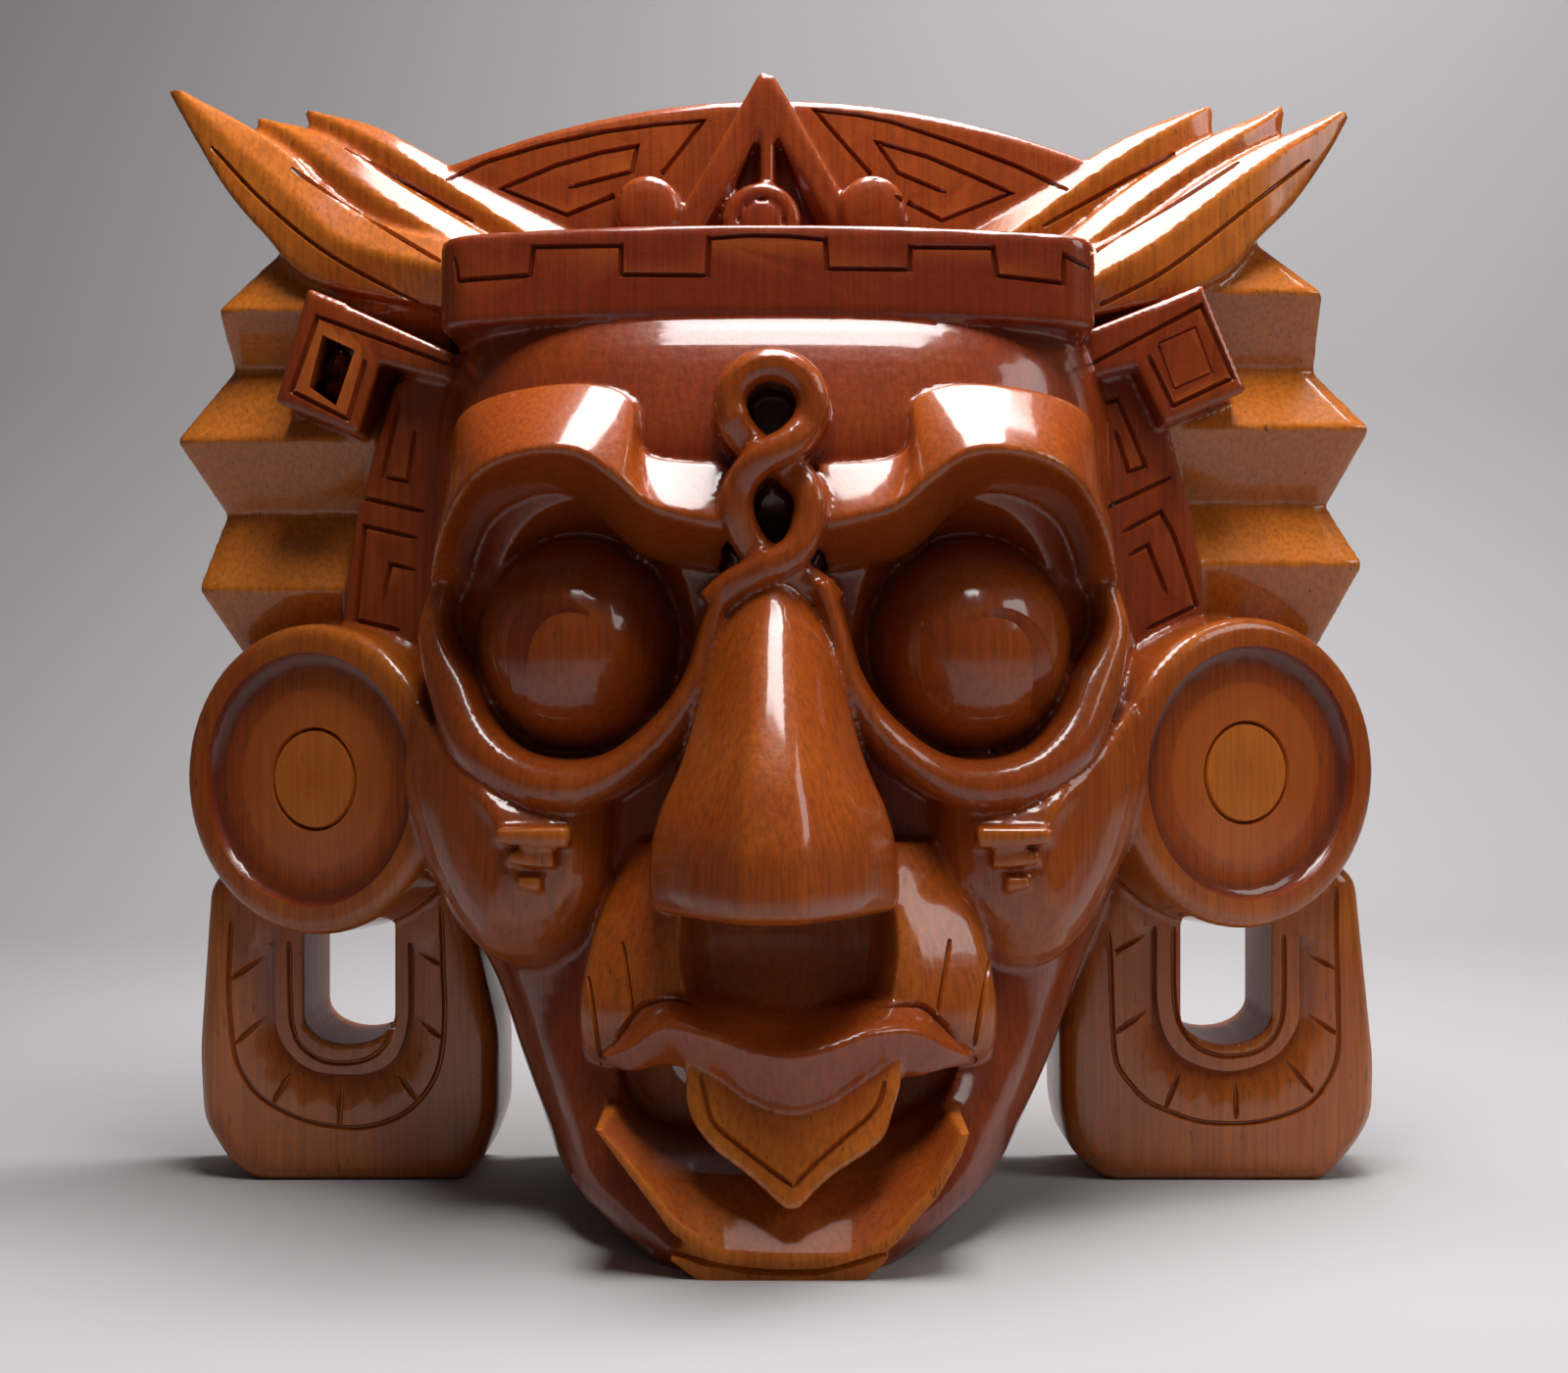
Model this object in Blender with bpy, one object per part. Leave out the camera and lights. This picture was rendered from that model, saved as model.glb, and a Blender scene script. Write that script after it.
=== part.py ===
# A carved wooden wall mask: one closed solid, carved from one blank.
# Lengths are millimetres until at() turns them into metres. x runs to the right, z up,
# and d is how far a point stands in front of the flat back of the mask.

import math

import bmesh
import bpy
from mathutils import Vector

MM = 0.001

# Headband and crown
BAND_HEIGHT = 23.0
BAND_HALF_WIDTH = 82.5
BAND_SHIFT = -1.6
BAND_DEPTH = 78.0
BAND_CORNER = 9.0
BAND_BASE = 223.0
CROWN_HALF_WIDTH = 99.0
CROWN_RISE = 22.0
CROWN_TOP = 294.5
CROWN_THICKNESS = 26.0
PEAK_HALF_WIDTH = 24.0
PEAK_TOP = 298.0
PEAK_DEPTH = 40.0
PEAK_BACK = 4.0
PEAK_RIM = 6.5
PEAK_SHIFT = -2.0
PEAK_SINK = 7.0
ORNAMENT_HEIGHT = 258.0
ORNAMENT_BACK = 10.0
KNOB_RADIUS = 9.0
KNOB_DEPTH = 42.0
KNOB_PLACES = (-34.0, 26.0)
BOSS_RADIUS = 10.5

# Feathers: tip thickness, root depth of the foremost one and the step between layers
FEATHER_DEPTH = 46.0
FEATHER_STEP = 7.0
FEATHER_TIP_DEPTH = 26.0
FEATHER_BACK = 8.0

# Square hooks
HOOK_DEPTH = 52.0
HOOK_BACK = 17.0
HOOK_WELL_FLOOR = 36.0

# Pleated side fans and the fret panels beside the face
PLEAT_RIDGE_DEPTH = 38.0
PLEAT_SEAM_DEPTH = 24.0
FAN_INNER = 88.0
PANEL_DEPTH = 46.0
PANEL_TURN = 6.0
BOARD = (126.0, 140.0, 241.0)

# Ear discs
DISC_RADIUS = 40.9
DISC_CENTRES = ((122.5, 50.0, 109.3), (125.5, 50.0, 111.0))
DISC_THICKNESS = 17.0
DISC_TURN = 25.0
RIM_WIDTH = 7.5
RIM_STEP = 3.0

# Ear pendants, each with a slot that is open right through
PENDANT_THICKNESS = 33.0
PENDANT_TOP = 95.0
PENDANT_EDGE = 6.0
SLOT_WIDTH = 24.5
SLOT_BOTTOM = 37.0
SLOT_TOP = 80.0
SLOT_CENTRES = (-115.0, 122.0)

# Face shell, its hollow back and the eyes
EYE_CENTRE = (49.0, 64.0, 143.5)
EYE_RADII = (26.5, 32.0, 28.5)
SOCKET_CENTRE = (49.0, 98.0, 146.0)
SOCKET_RADII = (33.0, 40.0, 36.0)
BROW_BACK = 52.0

# Nose, lips, tongue and chin
NOSE_DEPTH = 145.0
NOSE_BASE = 78.0
MUZZLE_BASE = 62.0
LIP_BACK = 86.0
MOUTH_BACK = 100.0
GAP_CENTRE = (-14.0, 46.0)
GAP_RADIUS = 12.0
TONGUE_THICKNESS = 14.0
TONGUE_DEPTH = 117.0
TONGUE_TIP_DEPTH = 131.0
JAW_DEPTH = 129.0
JAW_BACK = 85.0
STRAP_DEPTH = 127.5

# Flats of rounded forms, and how far forms and cutters reach past the faces that they meet
ROUND_STEPS = 20
BEHIND = -6.0
BELOW = -4.0
FOOT = -1.0
REACH = 60.0


def at(x, d, z):
    return Vector((x * MM, -d * MM, z * MM))


def lerp(a, b, t):
    return a + (b - a) * t


def woodMaterial():
    wood = bpy.data.materials.new("stained wood")
    wood.use_nodes = True
    shader = wood.node_tree.nodes["Principled BSDF"]
    shader.inputs["Base Color"].default_value = (0.30, 0.085, 0.022, 1.0)
    shader.inputs["Roughness"].default_value = 0.3
    shader.inputs["Metallic"].default_value = 0.0
    return wood


def finish(bm, name, group):
    """Close a form, point its faces outward and put it in one of the three groups."""
    bmesh.ops.remove_doubles(bm, verts=bm.verts, dist=0.00002)
    bmesh.ops.recalc_face_normals(bm, faces=bm.faces)
    mesh = bpy.data.meshes.new(name)
    bm.to_mesh(mesh)
    bm.free()
    form = bpy.data.objects.new(name, mesh)
    form.hide_render = True
    form.display_type = 'WIRE'
    group.objects.link(form)
    return form


def loft(name, group, rings):
    """Skin a row of rings, each a list of as many points, and cap both ends."""
    bm = bmesh.new()
    edges = []
    caps = []
    for ring in rings:
        verts = [bm.verts.new(at(*point)) for point in ring]
        row = [bm.edges.new((verts[i], verts[(i + 1) % len(verts)])) for i in range(len(verts))]
        edges.append(row)
        caps.append(verts)
    for lower, upper in zip(caps, caps[1:]):
        for i in range(len(lower)):
            j = (i + 1) % len(lower)
            bm.faces.new((lower[i], lower[j], upper[j], upper[i]))
    bm.faces.new(caps[0])
    bm.faces.new(caps[-1])
    bm.normal_update()
    bmesh.ops.triangulate(bm, faces=bm.faces)
    return finish(bm, name, group)


def slab(name, group, outline, back, front, edge=0.0, turn=0.0):
    """A flat shape given in (x, z), from one depth to another, its front edge eased.

    turn tilts the front face: it falls away by that much over 25 mm of |x|.
    """
    def depth(x):
        return front - turn * (abs(x) - abs(outline[0][0])) / 25.0

    middle = Vector((sum(p[0] for p in outline), sum(p[1] for p in outline))) / len(outline)
    rings = [[(x, back, z) for x, z in outline]]
    if edge:
        rings.append([(x, depth(x) - edge, z) for x, z in outline])
        inner = []
        for x, z in outline:
            away = Vector((x, z)) - middle
            away *= max(0.0, 1.0 - edge * 1.2 / max(away.length, edge * 1.3))
            inner.append((middle.x + away.x, depth(x), middle.y + away.y))
        rings.append(inner)
    else:
        rings.append([(x, depth(x), z) for x, z in outline])
    return loft(name, group, rings)


def ball(name, group, centre, radii, steps):
    bm = bmesh.new()
    bmesh.ops.create_uvsphere(bm, u_segments=steps, v_segments=steps // 2, radius=1.0)
    for vert in bm.verts:
        x, y, z = vert.co
        vert.co = at(centre[0] + x * radii[0], centre[1] + y * radii[1], centre[2] + z * radii[2])
    return finish(bm, name, group)


def box(name, group, low, high):
    ring = [(low[0], low[2]), (high[0], low[2]), (high[0], high[2]), (low[0], high[2])]
    return loft(name, group, [[(x, d, z) for x, z in ring] for d in (low[1], high[1])])


def mirrored(points, side):
    """Points are given for the right side; the left side has them mirrored in x."""
    return [(point[0] * side,) + tuple(point[1:]) for point in points]


# Face

# z, half width, front depth of the head at that height
HEAD_SECTIONS = (
    (236, 83, 66), (222, 87, 80), (205, 91, 86), (188, 92.5, 88), (165, 94, 82),
    (145, 98, 80), (120, 100, 82), (95, 95, 84), (75, 86, 84), (57, 75, 88), (40, 69, 97),
    (25, 63, 107), (13, 57, 116), (4, 46, 122), (BELOW, 32, 125),
)
# z, half width, depth of the hollow behind the face
HOLLOW_SECTIONS = (
    (214, 56, 34), (200, 68, 44), (170, 74, 48), (140, 78, 46), (112, 76, 56),
    (84, 66, 70), (60, 50, 74), (40, 42, 78), (22, 34, 78), (12, 26, 72),
)


def headRing(z, half, depth, back, count, power=0.55):
    """A round-cornered section, flat at the back; a smaller power makes it squarer."""
    ring = []
    for i in range(count + 1):
        turn = math.pi * i / count
        x = half * math.copysign(abs(math.cos(turn)) ** power, math.cos(turn))
        ring.append((x, back + (depth - back) * math.sin(turn) ** power, z))
    return ring


def head(group):
    loft("head", group, [headRing(z, w, d, BEHIND, 16) for z, w, d in HEAD_SECTIONS])


def hollow(group):
    rings = [headRing(z, w, d, BEHIND * 2, 10, 0.75) for z, w, d in HOLLOW_SECTIONS]
    loft("hollow", group, rings)


# x, z of top, crest and underside, then the depths of the three
BROW = (
    ((86, 176), (86, 160), (87, 155), 64, 76, 58),
    ((81.5, 186), (82, 169), (79, 157), 74, 90, 64),
    ((79, 198), (75, 179), (76, 167), 82, 101, 70),
    ((72, 203.5), (67, 185.5), (70, 176), 87, 107, 74),
    ((58, 206.5), (56, 188.5), (57, 180.5), 91, 110, 78),
    ((43, 207), (46, 188), (46, 178), 92, 110, 80),
    ((34, 202.5), (37, 182.5), (38, 170), 93, 109, 80),
    ((31, 190), (28, 175.5), (30, 165), 95, 107, 82),
    ((11, 187), (11, 171), (13, 162), 97, 104, 85),
)


def brow(group, side):
    rings = []
    for top, crest, under, topDepth, crestDepth, underDepth in BROW:
        middle = (lerp(top[0], crest[0], 0.55), lerp(topDepth, crestDepth, 0.6),
                  lerp(top[1], crest[1], 0.55))
        ring = [
            (top[0], BROW_BACK, top[1]), (top[0], topDepth, top[1]), middle,
            (crest[0], crestDepth, crest[1]), (under[0], underDepth, under[1]),
            (under[0], BROW_BACK, under[1]),
        ]
        rings.append(mirrored(ring, side))
    loft("brow %+d" % side, group, rings)


# Inner and outer edge of the band under the eye, and the depth of its crest
EYE_BAND = (
    ((80, 160), (88, 158), 74), ((81, 149), (90, 147), 78), ((75, 138), (86, 131), 84),
    ((70, 127), (79, 115), 90), ((62, 119), (65, 104.5), 95), ((51, 116), (51, 102), 98),
    ((40, 118), (38, 106.5), 99), ((28.5, 127), (24, 117.5), 101), ((21.5, 137), (15, 131), 104),
    ((18, 148), (11.5, 145), 105), ((14.5, 160), (8, 157), 106),
)


def eyeBand(group, side):
    rings = []
    for inner, outer, depth in EYE_BAND:
        def across(t, d):
            return (lerp(inner[0], outer[0], t), d, lerp(inner[1], outer[1], t))
        ring = [
            across(0, BROW_BACK), across(0, depth - 8), across(0.28, depth), across(0.68, depth - 1),
            across(1, depth - 7), across(1, BROW_BACK),
        ]
        rings.append(mirrored(ring, side))
    loft("eye band %+d" % side, group, rings)


# z, half width, depth of the ridge and depth of the side
NOSE_SECTIONS = (
    (163, 4, 100, 96), (153, 9, 110, 102), (144, 13.5, 118, 104), (128, 18, 129, 107),
    (115, 22, 137, 110), (106, 26, 141, 112), (97, 28.5, NOSE_DEPTH - 1, 113),
    (87, 29, NOSE_DEPTH, 114), (82, 28, NOSE_DEPTH - 2, 112),
)


def nose(group):
    rings = []
    for z, half, ridge, sideDepth in NOSE_SECTIONS:
        ring = [(half, NOSE_BASE, z), (half, sideDepth, z), (half * 0.62, lerp(sideDepth, ridge, 0.6), z)]
        ring += [(half * 0.22, ridge, z), (-half * 0.22, ridge, z)]
        ring += [(-half * 0.62, lerp(sideDepth, ridge, 0.6), z), (-half, sideDepth, z)]
        ring += [(-half, NOSE_BASE, z)]
        rings.append(ring)
    rings.append([(x * 0.9, NOSE_BASE if d == NOSE_BASE else d - 8, 80.5) for x, d, z in rings[-1]])
    loft("nose", group, rings)


MUZZLE_SECTIONS = ((96, 38, 98), (78, 46, 107), (60, 50, 112), (48, 50, 110), (40, 47, 98), (32, 42, 86))
MUZZLE_SHIFT = 3.5


def muzzle(group):
    rings = []
    for z, half, depth in MUZZLE_SECTIONS:
        outline = ((-1, MUZZLE_BASE), (-1, depth - 14), (-0.6, depth - 3), (0, depth), (0.6, depth - 3),
                   (1, depth - 14), (1, MUZZLE_BASE))
        rings.append([(half * share + MUZZLE_SHIFT, d, z) for share, d in outline])
    loft("muzzle", group, rings)


# z, left and right edge of the floor, depth of the floor
PHILTRUM = ((84, -18, 25, 90), (70, -17, 24, 91), (54, -14, 22, 98))
PHILTRUM_STEEPNESS = 3.0


def philtrum(group):
    """The sunk place under the nose, narrower towards the lip."""
    rings = []
    for z, left, right, floor in PHILTRUM:
        front = NOSE_DEPTH + 15
        spread = (front - floor) / PHILTRUM_STEEPNESS
        rings.append([(left, floor, z), (right, floor, z), (right + spread, front, z),
                      (left - spread, front, z)])
    loft("under the nose", group, rings)


# x, z of top, ridge and lower edge, depth of the ridge
LIP = (
    (-41, 46.8, 45.5, 43.5, 104), (-33, 55.5, 50, 43.5, 114), (-25, 61.8, 56, 46, 120),
    (-14, 59.8, 54.5, 45, 124), (-5, 57.5, 52, 40, 127), (4, 55.5, 51, 37.5, 128),
    (13, 57.3, 52.5, 39.5, 127), (22, 59.8, 55, 44, 124), (33, 60, 54.5, 43, 118),
    (41, 54, 49.5, 44, 112), (48, 46.8, 45.5, 43.5, 104),
)


def upperLip(group):
    rings = []
    for x, top, ridge, low, depth in LIP:
        rings.append([(x, LIP_BACK, top), (x, depth - 12, top), (x, depth, ridge), (x, depth - 4, low),
                      (x, LIP_BACK, low)])
    loft("upper lip", group, rings)


# The mouth at its back and at its front
MOUTH_INNER = ((-38, 46), (-36, 38), (-30, 30), (-14, 27), (4, 27), (20, 29), (38, 32), (44, 38), (46, 46),
               (30, 50), (4, 49), (-25, 50))
MOUTH_OUTER = ((-41, 46), (-38, 32), (-30.5, 24.3), (-24.4, 17.7), (4, 16), (27, 17.8), (34.7, 19), (41, 27.8),
               (48, 46), (30, 52), (4, 50), (-25, 52))
TONGUE = ((-20, 52), (-20, 39), (-18.3, 34.4), (-14, 29), (-5.4, 23.3), (4.4, 14.8), (12.1, 22.6),
          (21.4, 28), (25.7, 31.3), (27.3, 36.5), (29.5, 42.5), (29.5, 52))
JAW = ((-34, 36), (-30, 26), (-24.3, 19.6), (-20.8, 12.6), (-12.4, 4.9), (-1.2, 3.8), (12.8, 3.8), (26.2, 9.8),
       (34.5, 19.6), (40.2, 29.4), (44, 36))
STRAP = ((-22, 7), (-23.5, 4.5), (-12, BELOW), (16, BELOW), (26.5, 4.5), (25, 7.5))


def mouth(group):
    """The mouth narrows towards its back; a gap behind the tongue goes through to the hollow."""
    layers = ((MOUTH_INNER, MOUTH_BACK), (MOUTH_OUTER, JAW_DEPTH - 1), (MOUTH_OUTER, NOSE_DEPTH + 20))
    loft("mouth", group, [[(x, d, z) for x, z in outline] for outline, d in layers])


def mouthGap(group):
    ring = []
    for i in range(ROUND_STEPS):
        turn = math.tau * i / ROUND_STEPS
        across = GAP_RADIUS * math.cos(turn)
        ring.append((GAP_CENTRE[0] + across, GAP_CENTRE[1] + GAP_RADIUS * math.sin(turn)))
    loft("mouth gap", group, [[(x, d, z) for x, z in ring] for d in (BROW_BACK, MOUTH_BACK + 3)])


def tongue(group):
    """The tongue comes forward from under the lip to its tip."""
    top = max(z for x, z in TONGUE)
    tip = min(z for x, z in TONGUE)
    rings = []
    for behindFront in (TONGUE_THICKNESS, 0.0):
        ring = []
        for x, z in TONGUE:
            ring.append((x, lerp(TONGUE_DEPTH, TONGUE_TIP_DEPTH, (top - z) / (top - tip)) - behindFront, z))
        rings.append(ring)
    loft("tongue", group, rings)


def jaw(group):
    slab("jaw", group, JAW, JAW_BACK, JAW_DEPTH, 1.5)
    slab("strap", group, STRAP, JAW_BACK, STRAP_DEPTH)


CHEEK = ((93, 133), (97, 110), (90, 90), (80, 73), (68, 64), (56, 63), (45, 70), (39, 81),
         (37, 95), (37, 112), (50, 108), (64, 110), (80, 120))
CHEEK_LAYERS = ((1.0, 40), (1.0, 76), (0.86, 87.5), (0.6, 93.5), (0.3, 95.5))


def cheek(group, side):
    middle = Vector((sum(p[0] for p in CHEEK), sum(p[1] for p in CHEEK))) / len(CHEEK)
    rings = []
    for share, depth in CHEEK_LAYERS:
        ring = []
        for x, z in CHEEK:
            fall = max(0.0, (x - 72.0) / 23.0) * 18.0 if depth > 70 else 0.0
            ring.append((lerp(middle.x, x, share), depth - fall * share, lerp(middle.y, z, share)))
        rings.append(mirrored(ring, side))
    loft("cheek %+d" % side, group, rings)


CHEEK_BARS = ((48.6, 66.3, 95.2, 100.1, 100.5), (52.4, 63.7, 90.2, 94.4, 99), (55.6, 61.4, 84.4, 88.2, 98))


def cheekBars(group, side):
    for i, (inner, outer, low, high, depth) in enumerate(CHEEK_BARS):
        outline = mirrored([(inner, low), (outer, low + 1), (outer, high), (inner, high)], side)
        slab("cheek bar %d %+d" % (i, side), group, outline, NOSE_BASE, depth)


# The strand that winds down the brow: x, z, depth of the middle line
STRAND_WIDTH = 8.0
STRAND_LOOP = 9.8
STRAND_CENTRE = (-0.5, 200.5)
STRAND_OVER = ((8.6, 196, 110), (4, 191, 112), (-3, 187, 112), (-8, 181, 109), (-8.4, 174, 108),
               (-5, 167, 106), (1, 162, 105), (9, 158, 104), (14, 153, 103))
STRAND_UNDER = ((-9.6, 196, 110), (-5, 191, 107), (3, 186, 105), (8.2, 180, 108), (8.4, 173, 109),
                (5.5, 166, 110), (-1, 162, 110), (-9, 158, 107), (-15, 153, 104))


def band(name, group, path, width, base):
    """A band of steady width that follows a path of (x, z, depth) with a crowned front."""
    rings = []
    for i, (x, z, depth) in enumerate(path):
        before = Vector(path[max(i - 1, 0)][:2])
        after = Vector(path[min(i + 1, len(path) - 1)][:2])
        along = (after - before).normalized()
        across = Vector((-along.y, along.x)) * width / 2
        section = ((-1, base), (-1, depth - 3), (-0.6, depth - 0.6), (0.6, depth - 0.6),
                   (1, depth - 3), (1, base))
        rings.append([(x + across.x * s, d, z + across.y * s) for s, d in section])
    return loft(name, group, rings)


def twist(group):
    loop = []
    for i in range(13):
        turn = math.radians(-28 + 236 * i / 12)
        loop.append((STRAND_CENTRE[0] + STRAND_LOOP * math.cos(turn),
                     STRAND_CENTRE[1] + STRAND_LOOP * 0.92 * math.sin(turn), 110))
    band("strand loop", group, loop, STRAND_WIDTH, 76)
    band("strand over", group, STRAND_OVER, STRAND_WIDTH, 78)
    band("strand under", group, STRAND_UNDER, STRAND_WIDTH, 78)


# Headdress

def headband(group):
    plan = []
    for side in (-1, 1):
        corner = (side * (BAND_HALF_WIDTH - BAND_CORNER), BAND_DEPTH - BAND_CORNER)
        turns = range(0, 5) if side > 0 else range(4, -1, -1)
        row = []
        for i in turns:
            turn = math.radians(90 - i * 22.5)
            across = side * BAND_CORNER * math.cos(turn)
            row.append((corner[0] + across, corner[1] + BAND_CORNER * math.sin(turn)))
        plan.append(row)
    left, right = plan
    front = [(lerp(left[-1][0], right[0][0], i / 6), BAND_DEPTH) for i in range(1, 6)]
    outline = [(-BAND_HALF_WIDTH, BEHIND)] + left + front + right + [(BAND_HALF_WIDTH, BEHIND)]
    rings = []
    for height in (0, BAND_HEIGHT):
        rings.append([(x + BAND_SHIFT, d, BAND_BASE + height + bandArc(x)) for x, d in outline])
    loft("headband", group, rings)


def bandArc(x):
    return 3.0 * (1.0 - (x / BAND_HALF_WIDTH) ** 2)


def crown(group):
    top = []
    for i in range(13):
        x = lerp(CROWN_HALF_WIDTH, -CROWN_HALF_WIDTH, i / 12)
        top.append((x, CROWN_TOP - CROWN_RISE * (x / CROWN_HALF_WIDTH) ** 2))
    base = BAND_BASE + 6
    outline = [(-CROWN_HALF_WIDTH, base), (CROWN_HALF_WIDTH, base)] + top
    slab("crown", group, outline, BEHIND, CROWN_THICKNESS, 2.0)


def peakHalf(z):
    """Half the width of the peak at a height; it is PEAK_HALF_WIDTH beside the knobs."""
    return PEAK_HALF_WIDTH * (PEAK_TOP - z) / (PEAK_TOP - ORNAMENT_HEIGHT)


def peak(group):
    base = BAND_BASE + BAND_HEIGHT / 3
    half = peakHalf(base)
    outline = ((-half, base), (half, base), (2, PEAK_TOP - 1), (-2, PEAK_TOP))
    slab("peak", group, [(x + PEAK_SHIFT, z) for x, z in outline], PEAK_BACK, PEAK_DEPTH, 1.5)


def peakSink(group):
    """The sunk triangle inside the peak, with a narrow ridge left standing in it."""
    base = BAND_BASE + BAND_HEIGHT * 0.7
    half = peakHalf(base) - PEAK_RIM
    top = PEAK_TOP - PEAK_RIM * 2.2
    for side in (-1, 1):
        ring = [(0.6, base), (half, base), (0.8, top)]
        front = [(x * side + PEAK_SHIFT, PEAK_DEPTH + 4, z) for x, z in ring]
        floor = []
        for x, z in ring:
            drop = 2 if z == top else 0
            floor.append((lerp(x, 7.0, 0.35) * side + PEAK_SHIFT, PEAK_DEPTH - PEAK_SINK, z - drop))
        loft("peak sink %+d" % side, group, [floor, front])


def knobs(group):
    places = [(x, ORNAMENT_HEIGHT + 3, KNOB_RADIUS, KNOB_RADIUS, KNOB_DEPTH) for x in KNOB_PLACES]
    places.append((PEAK_SHIFT - 1.5, ORNAMENT_HEIGHT - 0.5, BOSS_RADIUS, KNOB_RADIUS, PEAK_DEPTH + 2))
    for i, (x, z, across, upright, front) in enumerate(places):
        ring = []
        for j in range(ROUND_STEPS):
            turn = math.tau * j / ROUND_STEPS
            ring.append((x + across * math.cos(turn), z + upright * math.sin(turn)))
        slab("knob %d" % i, group, ring, ORNAMENT_BACK, front, 1.8)


# Feathers: lower edge, ridge and upper edge at the stations from root to tip
FEATHERS = {
    -1: (
        (((82, 233), (84, 243.4), (84, 252)), ((122, 241.7), (114, 252), (108, 259)),
         ((138, 256), (127, 263), (122, 269)), ((148.5, 268), (137, 272), (131, 278)),
         ((157, 281), (149, 283), (144, 287)), ((166.5, 297), (164, 298), (162, 297))),
        (((72, 236), (74, 246), (72, 252)), ((112, 255), (104, 264), (100, 269)),
         ((128, 267), (122, 277), (117, 281)), ((139, 278), (132, 285), (128, 287)),
         ((143, 290), (142, 291), (141, 290))),
        (((56, 240), (58, 250), (54, 256)), ((104, 264), (99, 277), (95, 280)),
         ((124, 280), (116, 287), (112, 289)), ((130.5, 293), (129.5, 294), (128.5, 293))),
    ),
    1: (
        (((80, 231), (84, 241), (84, 250)), ((116, 241), (101, 252), (97, 257)),
         ((131, 255), (121, 267), (116, 271)), ((141, 265), (135, 277), (131, 280)),
         ((151, 279), (146, 284), (143, 286)), ((157.5, 290), (156.5, 292), (154.5, 291.5))),
        (((72, 236), (76, 246), (74, 252)), ((108, 256), (101, 266.5), (97, 270)),
         ((126, 271), (122, 281), (117, 283)), ((137, 280), (133, 288), (129, 289)),
         ((140.5, 292), (140, 294), (138, 293))),
        (((54, 240), (56, 250), (52, 256)), ((98, 266), (92, 277), (88, 280)),
         ((118, 279), (111, 289), (107, 290)), ((121.5, 293), (121, 295), (119.5, 294))),
    ),
}


def feathers(group, side):
    for layer, stations in enumerate(FEATHERS[side]):
        rootDepth = FEATHER_DEPTH - layer * FEATHER_STEP
        tipDepth = FEATHER_TIP_DEPTH - layer * 3.0
        rings = []
        for i, (low, ridge, top) in enumerate(stations):
            share = i / (len(stations) - 1)
            depth = lerp(rootDepth, tipDepth, share)
            back = lerp(BEHIND, FEATHER_BACK, min(1.0, share * 2.0))
            thin = lerp(5.0, 2.0, share)
            ring = [(low[0], back, low[1]), (low[0], depth - thin * 0.6, low[1]), (ridge[0], depth, ridge[1]),
                    (top[0], depth - thin, top[1]), (top[0], back, top[1])]
            rings.append(mirrored(ring, side))
        loft("feather %d %+d" % (layer, side), group, rings)


# Outlines of the arm and of the square block at its end, then the well or scored place in it
HOOKS = {
    -1: (((122, 238), (84, 221), (84, 213), (101, 217.5), (112, 222)),
         ((122, 238), (130.5, 208), (109, 199.5), (103, 218.5), (112, 234)),
         ((118, 225.5), (121.5, 212), (114.5, 207), (109.5, 221.5))),
    1: (((112, 239), (82, 227), (82, 214), (95, 217), (104, 224)),
        ((112, 239), (123.5, 211), (102, 202), (93.5, 219), (98, 233)),
        None),
}


def hook(group, wells, side):
    arm, block, well = HOOKS[side]
    slab("hook arm %+d" % side, group, mirrored(arm, side), HOOK_BACK, HOOK_DEPTH - 0.5)
    slab("hook block %+d" % side, group, mirrored(block, side), HOOK_BACK - 3.0, HOOK_DEPTH)
    if well:
        rings = [[(x, d, z) for x, z in mirrored(well, side)] for d in (HOOK_WELL_FLOOR, HOOK_DEPTH + 20)]
        loft("hook well %+d" % side, wells, rings)


# Seams and ridges of the pleats, each with its reach in x
PLEATS = {
    -1: ((260, 130), (235, 150.5), (220.8, 149.5), (200, 161.5), (181, 151.5), (160, 155.5), (134, 141)),
    1: ((260, 128), (240, 148), (220.5, 149), (203.5, 161), (183.5, 152.5), (167, 159), (136, 145)),
}


def fan(group, side):
    levels = PLEATS[side]
    for i in range(1, len(levels), 2):
        rings = []
        for x, rise in ((FAN_INNER, 0.0), (0, 1.0)):
            ring = []
            for step, (z, reach) in zip((-1, 0, 1), levels[i - 1:i + 2]):
                depth = PLEAT_RIDGE_DEPTH if step == 0 else PLEAT_SEAM_DEPTH
                place = lerp(FAN_INNER, reach, rise)
                ring.append((place, depth - 3.0 * rise, z))
            last = ring[-1]
            ring.append((last[0], BEHIND, last[2]))
            ring.append((ring[1][0], BEHIND, ring[1][2]))
            ring.append((ring[0][0], BEHIND, ring[0][2]))
            rings.append(mirrored(ring, side))
        loft("pleat %d %+d" % (i, side), group, rings)


PANEL = ((86, 222), (101, 214), (107, 196), (112, 178), (116, 149), (116, 132), (86, 132))


def board(group):
    """The plain board that carries panels, pleats, hooks and feathers."""
    half, low, high = BOARD
    outline = ((-half, low), (half, low), (half, high), (-half, high))
    slab("board", group, outline, BEHIND, PLEAT_SEAM_DEPTH - 2.0)


def panel(group, side):
    slab("panel %+d" % side, group, mirrored(PANEL, side), BEHIND, PANEL_DEPTH, 0.0, PANEL_TURN)


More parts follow.
